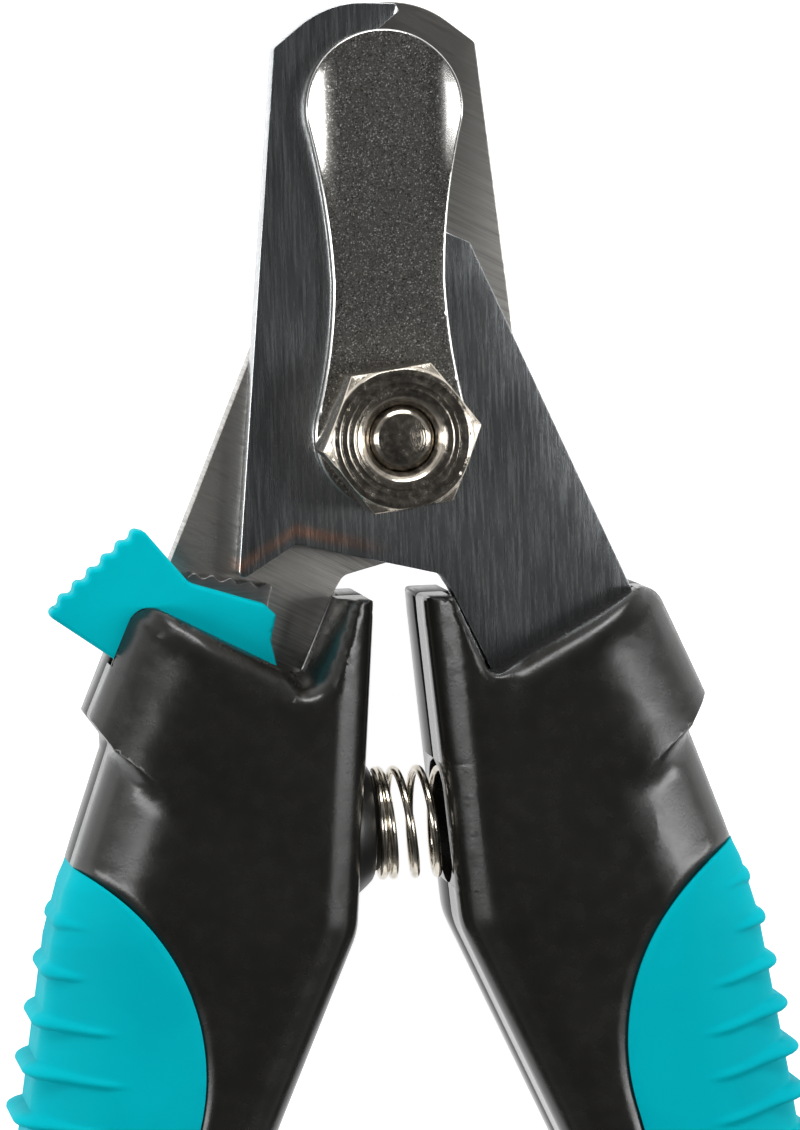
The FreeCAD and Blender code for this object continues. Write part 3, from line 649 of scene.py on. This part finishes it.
TEAL = (0.0, 0.37, 0.435)
looks = {
    "blade_front": brushed_steel(
        "front_blade_steel", (0.44, 0.46, 0.475), (0.54, 0.56, 0.575), 0, 0.24, 14000, 6000, 5e-7,
        # painted reflection: a reddish band along the front blade's arched edge near the pivot
        painted_reflection=(BLADE[-2][:2], (0.2476, -0.61), (0.95, 0.55, 0.40))),
    "blade_rear": brushed_steel(
        "rear_blade_steel", (0.34, 0.33, 0.31), (0.95, 0.92, 0.87), -62, 0.36, 7000, 3400, 4e-6,
        # painted shade: the rear blade's colour darkens towards its tips
        fade=(ORIGIN[1] - 0.004, ORIGIN[1] + 0.026, 0.0, 0.85)),
    "guard_steel": speckled_steel("guard_plate_steel"),
    "nickel": polished("nickel_plate", (0.62, 0.56, 0.475), 0.15),
    "spring_steel": polished("spring_wire", (0.70, 0.64, 0.54), 0.14, rings=False),
    "screw_steel": polished("screw_zinc", (0.62, 0.62, 0.62), 0.25, rings=False),
    "pawl_steel": brushed_steel(
        "pawl_plate", (0.16, 0.16, 0.16), (0.42, 0.41, 0.40), 90, 0.35, 7000, 1800, 2e-6),
    "insert_nylon": nylon("insert_nylon_dark", (0.03, 0.03, 0.035)),
    "shell_plastic": black_plastic("shell_moulding"),
    "cup_plastic": black_plastic("cup_moulding", (0.008, 0.008, 0.0075), 0.36),
    "grip_rubber": rubber("grip_elastomer", TEAL),
    "lever_plastic": rubber("lever_moulding", (0.0, 0.405, 0.47)),
}
CAD_SLOTS = {
    "front_blade": "blade_front", "rear_blade": "blade_rear", "guard_plate": "guard_steel",
    "pivot_bolt": "nickel", "pivot_nut": "nickel", "nut_insert": "insert_nylon", "lock_pin": "screw_steel",
    "lock_lever": "lever_plastic", "lock_pawl": "pawl_steel", "spring_cup": "cup_plastic",
    "return_spring": "spring_steel", "left_screws": "screw_steel", "right_screws": "screw_steel",
    "left_grip": "grip_rubber", "right_grip": "grip_rubber",
}
for node in frame["nodes"].values():
    look = looks[CAD_SLOTS.get(node.name, "shell_plastic")]
    for i in range(len(node.data.materials)):
        node.data.materials[i] = look
    if not node.data.materials:
        node.data.materials.append(look)


# --- Blades ---
BLADE_THICK = 2.5
BLADE_GAP = 0.04


def blade(name, side, low, slot, node):
    """A blade on its tang, with the bevel of its cutting edge on the face away from the other blade."""
    outline = drawn(on_side(BLADE, side), 0.6)
    cutting = drawn(on_side(CUTTING_EDGE, side), 0.6, closed=False)
    holes = [circle((0, 0), BOLT_HOLE)] + [circle((side * x, y), TANG_HOLE, 24) for x, y in TANG_HOLES]
    edge = 0.08
    bevel = 1.1

    def face(points, with_bevel):
        drop = rounding(gap(points, outline, True), edge)
        if with_bevel:
            width = bevel * smoothstep(points[:, 1], 15.0, 18.0) * (1 - smoothstep(points[:, 1], 24.5, 27.5))
            drop = np.maximum(drop, np.clip(width - gap(points, cutting), 0, bevel))
        return drop

    verts, faces = slab(
        [outline] + holes,
        lambda p: low + BLADE_THICK - face(p, side > 0),
        lambda p: low + face(p, side < 0),
        edges=[(outline, edge, True), (cutting, bevel, False)], pitch=2.5,
    )
    add_piece(name, verts, faces, HALF[side], slot, node, 50)


blade("blade_with_latch_corner", 1, BLADE_GAP, "blade_front", "front_blade")
blade("blade_under", -1, -BLADE_THICK, "blade_rear", "rear_blade")


# --- Guard plate ---
GUARD_LEVELS = (2.6, 4.1)
WING_ANGLE = 21.0


def guard_rise(points):
    """Height of the bent wings above the flat neck."""
    beyond = np.abs(points[:, 0] - 0.1) - 3.45
    width = 1.3
    bent = np.where(beyond < width, np.clip(beyond, 0, width) ** 2 / (2 * width), beyond - width / 2)
    wing = smoothstep(points[:, 1], 13.0, 22.0) * (1 - smoothstep(points[:, 1], 25.5, 31.0))
    return math.tan(math.radians(WING_ANGLE)) * bent * wing


def guard():
    outline = drawn(GUARD, 0.45)
    low, high = GUARD_LEVELS
    lip = 0.17
    verts, faces = slab(
        [outline, circle((0, 0), BOLT_HOLE)],
        lambda p: high + guard_rise(p) - rounding(gap(p, outline, True), lip),
        lambda p: low + guard_rise(p) + rounding(gap(p, outline, True), 0.15),
        edges=[(outline, lip, True)], pitch=0.55,
    )
    add_piece("guard_bent_plate", verts, faces, "guard", "guard_steel", "guard_plate", 60)


guard()


# --- Nut and bolt ---
ACROSS_FLATS = 10.0
NUT_HOLE = 2.42
HEX_EDGE = 0.1


def hexagon(turn, radius=0.12):
    """The nut's or the bolt head's outline, turned by degrees."""
    reach = ACROSS_FLATS / math.sqrt(3)
    corners = []
    for i in range(6):
        angle = math.radians(turn + 60 * i)
        corners.append((reach * math.cos(angle), reach * math.sin(angle), radius))
    return drawn(corners, 0.3)


def turned_level(points, profile):
    """Level of a turned surface: profile is (distance from the axis, level), outwards."""
    distance, level = np.array(profile).T
    return np.interp(np.hypot(points[:, 0], points[:, 1]), distance, level)


NUT_TOP = [
    (NUT_HOLE, 9.30), (2.60, 9.50), (2.85, 9.78), (3.05, 9.93), (3.18, 9.98), (3.32, 10.0), (3.50, 10.0),
    (3.54, 10.015), (3.62, 10.015), (3.66, 10.0), (3.93, 10.015), (3.98, 10.03), (4.06, 10.035),
    (4.12, 10.025), (4.55, 10.03), (4.60, 10.045), (4.68, 10.045), (4.74, 10.03), (4.93, 10.03),
    (5.03, 9.97), (5.10, 9.86), (5.16, 9.80), (5.90, 9.38),
]


def nut():
    outline = hexagon(7.5)
    rings = circles([radius for radius, _ in NUT_TOP[1:-1]], 96)
    verts, faces = slab(
        [outline, circle((0, 0), NUT_HOLE, 64)],
        lambda p: turned_level(p, NUT_TOP) - rounding(gap(p, outline, True), HEX_EDGE),
        at_level(4.15), edges=[(outline, HEX_EDGE, True)], points=rings, pitch=0.8,
        bottom_steps=[(circle((0, 0), 3.08), 8.4)],
    )
    add_piece("nut_with_rolled_collar", verts, faces, "left_half", "nickel", "pivot_nut", 42)


def bolt():
    end = [
        (0.0, 9.72), (1.70, 9.72), (1.86, 9.68), (2.26, 9.30), (2.33, 9.18), (2.35, 8.9), (3.0, 8.25),
        (3.0, -2.55), (0.0, -2.55),
    ]
    stem = lathe(end[::-1], 72)
    outline = hexagon(0.0)
    head_top = [(0.0, 6.5), (4.6, 6.5), (4.75, 6.46), (5.9, 5.85)]
    rings = circles((4.6, 4.75), 72)
    head = slab(
        [outline], lambda p: turned_level(p, head_top) - rounding(gap(p, outline, True), HEX_EDGE),
        at_level(2.55), edges=[(outline, HEX_EDGE, True)], points=rings, pitch=0.8, flip=True,
    )
    add_piece("bolt_with_hex_head", *joined(stem, head), "left_half", "nickel", "pivot_bolt", 42, welded=True)


nut()
bolt()


# --- Handles ---
OUTER_ROUND = (7.0, 4.6)
INNER_ROUND = (2.8, 3.0)
BLEND_POWER = 2.4
SEAM_BAND = 0.95
SPRING_ALONG = -28.5
SEAT_RADIUS = 4.6
SEAT_END = 5.0
SCREW_RECESS_RADIUS = 2.6
SCREW_RECESS_DEPTH = 2.0


def draw_in(y):
    """How far the front and back faces close up towards the handle's lower end."""
    return np.interp(-y, [118.0, 122.0, 124.3, 125.3], [0.0, 0.5, 1.8, 3.2])


def rolled(distance, width, height):
    """Fall of an elliptical edge at a distance in from it."""
    return height * (1 - np.sqrt(np.clip(1 - (1 - np.minimum(distance, width) / width) ** 2, 0, 1)))


def blended(drops):
    """One fall from several, with a soft change from one to the next."""
    return sum(drop ** BLEND_POWER for drop in drops) ** (1 / BLEND_POWER)


def shoulder_fall(points, size):
    """Outer edge of the right handle: a wide shoulder that ends in a slanting step above the slimmer grip."""
    tip, notch = np.array(OUTER_SIDE[4][:2]), np.array(OUTER_SIDE[5][:2])
    upper_way = unit(tip - np.array(OUTER_SIDE[3]))
    lower_way = unit(np.array(OUTER_SIDE[6]) - notch)
    upper = drawn(OUTER_SIDE[:4] + [tuple(tip + 12 * upper_way)], 0.55, False)
    lower = drawn([tuple(notch - 10 * lower_way)] + OUTER_SIDE[6:], 0.55, False)
    away = points - notch
    above_cut = np.min([away[:, 0] * way[1] - away[:, 1] * way[0]
                        for way in (unit(notch - tip), unit(np.array(SHOULDER_CUT[2]) - notch))], 0)
    deep = gap(points, lower)
    share = smoothstep(-above_cut, 0.0, 0.6 + 0.35 * np.clip(deep, 0, 4))
    return (1 - share) * rolled(gap(points, upper), *size) + share * rolled(deep, *size)


def shell(name, side, rear, node):
    """One half of a handle's hard shell; the rear half is built upside down."""
    sloping = side < 0 and not rear
    edge = SLOPING_EDGE if sloping or (rear and side > 0) else STRIP_EDGE

    def line(corners, pitch=0.55):
        return drawn(on_side(corners, side), pitch, False)

    vee, seam = line(RIM + edge, 0.5), line(SEAM)
    outline = drawn(on_side(SHELL + edge, side), 0.55)
    outer_size = (2.6, 2.6) if rear else OUTER_ROUND
    rim_size, edge_size = (0.7, 0.7) if rear else (2.4, 1.9), (2.0, 5.0) if sloping else (0.6, 0.6)
    rolls = [(line(INNER_SIDE), (1.4, 1.4) if rear else INNER_ROUND), (line(STRIP_TOP), (0.5, 0.5))]

    def face(points):
        drops = [rolled(gap(points, run), *size) for run, size in rolls]
        drops.append(shoulder_fall(points * (side, 1), outer_size))
        share = smoothstep(side * points[:, 0], 7.0, 8.8)
        width, height = ((1 - share) * e + share * r for e, r in zip(edge_size, rim_size))
        drops.append(rolled(gap(points, vee), width, height))
        beside_seam = 0.28 * np.clip(1 - gap(points, seam) / SEAM_BAND, 0, 1) ** 2
        return np.maximum(SHELL_DEPTH - draw_in(points[:, 1]) - blended(drops) - beside_seam, 0.6)

    def seat_roof(points):
        across = points[:, 1] - SPRING_ALONG
        return np.minimum(np.sqrt(np.clip(SEAT_RADIUS ** 2 - across ** 2, 0, None)), face(points) - 0.4)

    pockets, recesses, seat = [], [], None
    if rear and side < 0:
        pockets.append((drawn(mirrored(TANG_POCKET), 0.6), 2.55))
    if not rear and side > 0:
        pockets.append((drawn(TANG_POCKET, 0.6), 2.59))
    if not rear and side < 0:
        pockets.append((drawn(LEVER_POCKET, 0.6), 3.1))
    if side > 0:
        low, high = SPRING_ALONG - SEAT_RADIUS, SPRING_ALONG + SEAT_RADIUS
        mouth = drawn([(1.0, low), (SEAT_END, low), (SEAT_END, high), (1.0, high)], 0.6)
        pockets.append((mouth, seat_roof))
        turns = np.radians(np.linspace(-84, 84, 25))
        seat = np.stack(np.meshgrid(np.linspace(2.2, SEAT_END - 0.3, 7),
                                    SPRING_ALONG + SEAT_RADIUS * np.sin(turns)), -1).reshape(-1, 2)
    if rear:
        recesses = [(circle((side * x, y), SCREW_RECESS_RADIUS, 40), SHELL_DEPTH - SCREW_RECESS_DEPTH)
                    for x, y in TANG_HOLES + [END_SCREW]]
    verts, faces = slab(
        [outline], face, at_level(0.0),
        edges=[(run, size[0], False) for run, size in rolls] + [
            (vee, max(rim_size[0], edge_size[0]), False), (seam, SEAM_BAND, False),
            (line(OUTER_SIDE), outer_size[0], False), (line(SHOULDER_CUT, 0.5), 0.9, False),
        ],
        points=seat, pitch=2.2, top_steps=recesses, bottom_steps=pockets, inset=0.12, flip=rear,
    )
    add_piece(name, verts, faces, HALF[side], "shell_plastic", node, 48)


for hand, side in (("left", -1), ("right", 1)):
    shell(f"{hand}_shell_front_half", side, False, f"{hand}_front_shell")
    shell(f"{hand}_shell_rear_half", side, True, f"{hand}_rear_shell")


# --- Soft grips ---
RIBS = {-1: (-34.2, 3.68, 10.0), 1: (-33.2, 3.36, 16.0)}
RIB_END = -94.0
RIB_REACH = 32.96
GRIP_FRONT = 7.15
GRIP_REAR = 6.6
GRIP_REAR_ROUND = (2.6, 2.6)
GRIP_REAR_LIMIT = 6.95
GRIP_PROUD = 0.22


def rib_height(x, y, outer, side):
    """Height of the ribs at points of one row of the grip, seen straight on the tool's plane."""
    first, pitch, slope = RIBS[side]
    total = np.zeros_like(x)
    for number in range(int((first - RIB_END) / pitch)):
        centre = first - pitch * number
        start = min(20.6 + 0.06 * (first - centre) + (6.0, 3.0, 0.8, 0.0)[min(number, 3)], outer - 1.0)
        across = y - (centre + math.tan(math.radians(slope)) * (x - 25.0))
        grown = np.clip((x - start) / (outer - start), 0, 1)
        above, below = 0.30 + 0.35 * grown ** 2, 0.22 + 0.28 * grown ** 2
        shape = np.sqrt(np.clip(1 - (across / np.where(across > 0, above, below)) ** 2, 0, 1))
        tip = min((0.3, 0.5, 0.7, 0.9, 1.1)[min(number, 4)], RIB_REACH - outer)
        ridge = 0.27 if number > 1 else 0.15
        towards = smoothstep(x, outer - 2.6, outer - 0.1)
        fade = smoothstep(x, start - 0.2, start + 1.6)
        total = np.maximum(total, shape * (fade * ridge + (tip - ridge) * towards))
    return total


def grip(name, side, node):
    """A ribbed sleeve over the outer half of a handle: rows of points from the seam round to the back."""
    rows = np.concatenate([-30.36 - np.linspace(0, 1, 12)[:-1] ** 1.5 * 1.4,
                           np.linspace(-31.76, -95.0, 440), np.linspace(-95.3, -112.3, 50)])
    seam = drawn(SEAM, 0.3, False)
    outer_line = drawn(OUTER_SIDE, 0.3, False)
    seam_x = np.interp(-rows, -seam[:, 1], seam[:, 0])
    outer_x = np.interp(-rows, -outer_line[:, 1], outer_line[:, 0])
    columns = 64
    edge = 0.12
    verts = []
    for y, inner, outer in zip(rows, seam_x, outer_x):
        swell = GRIP_PROUD * smoothstep(-y, 30.4, 32.0)
        section = []
        for front, depth, (span, fall) in (
            (True, GRIP_FRONT, OUTER_ROUND), (False, GRIP_REAR, GRIP_REAR_ROUND),
        ):
            wide = outer + swell
            straight = depth - fall
            radius = (span + fall) / 2
            arc = radius * math.pi / 2
            width = wide - inner
            if width >= span:
                length = straight + arc + (width - span)
            else:
                length = straight + radius * math.acos(max(0.0, 1 - width / span))
            s = np.linspace(0, 1, columns // 2 + 1) ** 0.9 * length
            part = []
            for run in s:
                if run < straight:
                    spot, normal = (wide, run), (1.0, 0.0)
                elif run < straight + arc:
                    angle = (run - straight) / radius
                    spot = (wide - span + span * math.cos(angle), straight + fall * math.sin(angle))
                    normal = unit(np.array([math.cos(angle) / span, math.sin(angle) / fall]))
                else:
                    spot, normal = (wide - span - (run - straight - arc), depth), (0.0, 1.0)
                part.append((spot, normal, front))
            section.append(part)
        front_part, rear_part = section
        loop = front_part[::-1] + rear_part[1:]
        xs = np.array([spot[0] for spot, _, _ in loop])
        lift = rib_height(xs, y, outer, side)
        sink = rounding(np.clip(xs - inner, 0, None), edge)
        for k, (spot, normal, front) in enumerate(loop):
            x = spot[0] + normal[0] * lift[k]
            z = spot[1] + normal[1] * (lift[k] - sink[k])
            if not front:
                z = -min(z, GRIP_REAR_LIMIT)
            verts.append((side * x, y, z))
    count = 2 * (columns // 2) + 1
    faces = []
    for r in range(len(rows) - 1):
        for k in range(count):
            after = (k + 1) % count
            face = [r * count + k, r * count + after, (r + 1) * count + after, (r + 1) * count + k]
            faces.append(face if side > 0 else face[::-1])
    first = list(range(count))
    last = [(len(rows) - 1) * count + k for k in range(count)]
    faces.append(first[::-1] if side > 0 else first)
    faces.append(last if side > 0 else last[::-1])
    add_piece(name, verts, faces, HALF[side], "grip_rubber", node, 60)


grip("left_soft_grip", -1, "left_grip")
grip("right_soft_grip", 1, "right_grip")


# --- Thumb lock ---
def toothed_run(start, stop, count, depth):
    """Corners of a run of rounded teeth between two points, valleys to the right of the way."""
    start, stop = np.array(start), np.array(stop)
    way = stop - start
    right = unit(np.array([way[1], -way[0]])) * depth
    corners = []
    for i in range(count):
        crest = start + way * (i / (count - 1))
        corners.append((*crest, depth * 0.7))
        if i < count - 1:
            corners.append((*(crest + way * (0.5 / (count - 1)) + right), depth * 0.7))
    return corners


LEVER = toothed_run((-25.3, -11.6), (-18.9, -6.1), 7, 0.6) + [
    (-18.0, -6.35, 0.4), (-14.9, -10.2, 1.6), (-9.5, -11.95, 0.4), (-8.7, -12.75, 0.3), (-9.15, -14.6, 0.6),
    (-8.7, -16.9, 0.5), (-9.5, -17.7, 0.5), (-16.0, -18.2, 3.0), (-20.6, -15.4, 2.0), (-24.9, -12.3, 0.4),
]
PAWL = toothed_run((-14.35, -9.45), (-9.1, -10.5), 5, 0.5) + [
    (-8.75, -10.8, 0.2), (-9.0, -11.8, 0.4), (-9.45, -13.9, 0.4), (-13.8, -13.5, 0.4),
    (-15.1, -11.8, 0.3), (-14.95, -9.95, 0.3),
]
PAWL_SLOT = [(-15.2, -9.0), (-15.2, -11.9), (-13.9, -13.6, 0.5), (-8.0, -14.05), (-8.0, -9.0)]


def plate(name, corners, low, high, lip, slot, node, holes=(), bottom_steps=(), pitch=0.25):
    """A plate of the lock with rounded edges, finer on its upper side."""
    outline = drawn(corners, pitch)
    verts, faces = slab(
        [outline] + list(holes),
        lambda p: high - rounding(gap(p, outline, True), lip),
        lambda p: low + rounding(gap(p, outline, True), 0.1),
        edges=[(outline, lip, True)], pitch=1.0, bottom_steps=bottom_steps,
    )
    add_piece(name, verts, faces, "lock", slot, node, 55)


plate("thumb_lever", LEVER, 0.15, 2.9, 0.32, "lever_plastic", "lock_lever",
      holes=[circle(LOCK_PIVOT, 1.15, 32)], bottom_steps=[(drawn(PAWL_SLOT, 0.5), 1.2)])
plate("toothed_pawl", PAWL, 0.15, 1.15, 0.1, "pawl_steel", "lock_pawl", pitch=0.1)


# --- Spring, cup and screws ---
def spring_cup():
    profile = [
        (0.0, -6.0), (4.0, -6.0), (4.0, -3.95), (4.05, -3.88), (5.2, -3.88), (5.3, -3.78), (5.3, -3.6),
        (5.24, -3.42), (5.02, -3.1), (4.72, -2.75), (4.45, -2.45), (4.2, -2.2), (3.95, -2.05), (3.55, -2.0),
        (3.46, -1.92), (3.42, -1.7), (3.3, -1.56), (3.0, -1.5), (0.0, -1.5),
    ]
    verts, faces = lathe(profile, 96, along_x=True)
    verts[:, 1] += SPRING_ALONG
    add_piece("cup_for_spring", verts, faces, "left_half", "cup_plastic", "spring_cup", 50, welded=True)


def return_spring():
    """A coil along X with closed ends, from the cup's floor into the recess in the right handle."""
    turns, radius, wire = 4.5, 3.85, 0.3
    steps, around = 340, 14
    t = np.linspace(0, 1, steps)
    turn = t * turns * 2 * math.pi
    along = np.interp(t * turns, [0, 0.5, 1, 1.5, 2, 2.5, 3, 3.5, 4, 4.5],
                      [-1.65, -1.4, -1.1, -0.75, 0.05, 0.9, 1.8, 2.5, 3.4, 4.56])
    window = np.hanning(31)
    along = np.convolve(np.pad(along, 15, "edge"), window / window.sum(), "valid")
    lean = 0.06 * np.clip(np.minimum(t * turns, (1 - t) * turns), 0, 1)
    path = np.stack([along - lean * radius * np.cos(turn), radius * np.cos(turn) + SPRING_ALONG,
                     radius * np.sin(turn)], 1)
    ahead = np.gradient(path, axis=0)
    ahead /= np.linalg.norm(ahead, axis=1)[:, None]
    outward = np.stack([np.zeros(steps), np.cos(turn), np.sin(turn)], 1)
    outward -= (outward * ahead).sum(1)[:, None] * ahead
    outward /= np.linalg.norm(outward, axis=1)[:, None]
    across = np.cross(ahead, outward)
    verts = []
    for i in range(steps):
        for k in range(around):
            angle = 2 * math.pi * k / around
            verts.append(path[i] + wire * (math.cos(angle) * outward[i] + math.sin(angle) * across[i]))
    faces = [list(range(around))[::-1], [(steps - 1) * around + k for k in range(around)]]
    for i in range(steps - 1):
        for k in range(around):
            after = (k + 1) % around
            faces.append([i * around + k, i * around + after, (i + 1) * around + after, (i + 1) * around + k])
    piece = add_piece("coil_spring", verts, faces, None, "spring_steel", "return_spring", 60, welded=True)
    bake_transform(piece)


def cross(size, width):
    """A screw's cross recess, of this size over its arms."""
    a, b = size / 2, width / 2
    corners = [(a, -b), (a, b), (b, b), (b, a), (-b, a), (-b, b), (-a, b), (-a, -b), (-b, -b), (-b, -a),
               (b, -a), (b, -b)]
    return drawn([(x, y, 0.08) for x, y in corners], 0.3)


def screws(name, side, node):
    """Three pan-head screws with a cross recess, seen from the back."""
    dome = [(0.0, 6.68), (1.2, 6.64), (1.9, 6.5), (2.25, 6.2), (2.38, 5.75), (2.4, 5.5)]
    parts = []
    for number, (x, y) in enumerate(TANG_HOLES + [END_SCREW]):
        turn = math.radians(17 + 41 * number)
        spin = np.array([[math.cos(turn), math.sin(turn)], [-math.sin(turn), math.cos(turn)]])
        recess = cross(2.5, 0.62) @ spin
        rings = circles((1.2, 1.6, 1.9, 2.1, 2.25, 2.32), 48)
        head, faces = slab(
            [circle((0, 0), 2.38, 48)], lambda p: turned_level(p, dome), at_level(5.0),
            points=rings, pitch=0.6, top_steps=[(recess, 5.75)], flip=True,
        )
        stem, stem_faces = lathe([(0.0, -5.0), (1.25, -5.0), (1.25, 4.0), (0.0, 4.4)], 24)
        spot = np.array([side * x, y, 0])
        parts += [(head + spot, faces), (stem + spot, stem_faces)]
    add_piece(name, *joined(*parts), HALF[side], "screw_steel", node, 40, welded=True)


spring_cup()
return_spring()
screws("left_pan_screws", -1, "left_screws")
screws("right_pan_screws", 1, "right_screws")


# --- Floor, light and camera ---
def floor():
    finish = Finish("pale_floor", (0.5, 0.5, 0.5), 0.6, Emission_Strength=0.98, Emission_Color=(1, 1, 1, 1))
    finish.colour(finish.mix(finish.noise(6, 2), (0.48, 0.48, 0.48), (0.52, 0.52, 0.52)))
    reach, level, count = 2.5, -0.0002, 48
    verts = [(0, 0, level)]
    verts += [(reach * math.cos(2 * math.pi * i / count), reach * math.sin(2 * math.pi * i / count), level)
              for i in range(count)]
    mesh = bpy.data.meshes.new("floor")
    mesh.from_pydata(verts, [], [(0, i + 1, (i + 1) % count + 1) for i in range(count)])
    mesh.materials.append(finish.material)
    piece = bpy.data.objects.new("floor", mesh)
    bpy.context.scene.collection.objects.link(piece)


def softbox(name, place, size, radiance):
    """A rectangular area light that faces the tool's middle; radiance sets its brightness per area."""
    light = bpy.data.lights.new(name, "AREA")
    light.shape = "RECTANGLE"
    light.size, light.size_y = size
    light.energy = radiance * math.pi * size[0] * size[1]
    lamp = bpy.data.objects.new(name, light)
    lamp.location = place
    lamp.rotation_euler = (Vector(place) - Vector((0, 0.02, 0))).to_track_quat("Z", "Y").to_euler()
    bpy.context.scene.collection.objects.link(lamp)


def studio():
    """Pale sky from white at the floor to dark above, dimmer on the handles' side, and three softboxes."""
    world = bpy.data.worlds.new("studio")
    bpy.context.scene.world = world
    world.use_nodes = True
    tree = world.node_tree
    background = tree.nodes["Background"]
    place = tree.nodes.new("ShaderNodeTexCoord")
    split = tree.nodes.new("ShaderNodeSeparateXYZ")
    ramp = tree.nodes.new("ShaderNodeValToRGB")
    tree.links.new(place.outputs["Generated"], split.inputs["Vector"])
    tree.links.new(split.outputs["Z"], ramp.inputs["Fac"])
    tree.links.new(ramp.outputs["Color"], background.inputs["Color"])
    near_side = tree.nodes.new("ShaderNodeMapRange")
    for socket, value in (("From Min", -0.7), ("From Max", 0.1), ("To Min", 0.2), ("To Max", 1.0)):
        near_side.inputs[socket].default_value = value
    tree.links.new(split.outputs["Y"], near_side.inputs["Value"])
    tree.links.new(near_side.outputs["Result"], background.inputs["Strength"])
    stops = [(0.0, 0.95), (0.12, 0.9), (0.40, 0.35), (0.78, 0.14), (0.90, 0.05), (1.0, 0.045)]
    elements = ramp.color_ramp.elements
    while len(elements) < len(stops):
        elements.new(0.5)
    for element, (position, value) in zip(elements, stops):
        element.position = position
        element.color = (value, value, value, 1)

    softbox("softbox_left", (-0.52, 0.02, 0.40), (0.14, 0.6), 10.0)
    softbox("softbox_right", (0.52, 0.02, 0.40), (0.14, 0.6), 10.0)
    softbox("softbox_top", (0.0, 0.58, 0.33), (0.5, 0.13), 13.0)


SENSOR = 36.0
CAMERA_REACH = 480.0
VIEW_LENGTH = 82.18


def camera():
    """The camera stands over the tool, a little to one side, with the tool turned slightly in the frame."""
    target = Vector((1.099, -9.690, 0.0))
    yaw, pitch, roll = math.radians(7.7), math.radians(4.0), math.radians(-1.9)
    back = Vector((-math.sin(yaw) * math.cos(pitch), math.sin(pitch), math.cos(yaw) * math.cos(pitch)))
    right = Vector((0, 1, 0)).cross(back).normalized()
    up = back.cross(right)
    spin = Matrix.Rotation(roll, 3, "Z")
    axes = Matrix([spin @ right, spin @ up, spin @ back]).transposed().to_4x4()
    spot = (spin @ (target + back * CAMERA_REACH)) * MM + Vector(ORIGIN)
    data = bpy.data.cameras.new("camera")
    data.sensor_width = SENSOR
    data.sensor_fit = "AUTO"
    data.lens = SENSOR * CAMERA_REACH / VIEW_LENGTH
    data.clip_start = 0.01
    data.clip_end = 20.0
    lens = bpy.data.objects.new("camera", data)
    lens.matrix_world = Matrix.Translation(spot) @ axes
    bpy.context.scene.collection.objects.link(lens)
    bpy.context.scene.camera = lens


floor()
studio()
camera()
bpy.context.scene.view_settings.view_transform = "Standard"
bpy.context.scene.view_settings.look = "None"

bpy.context.view_layer.update()
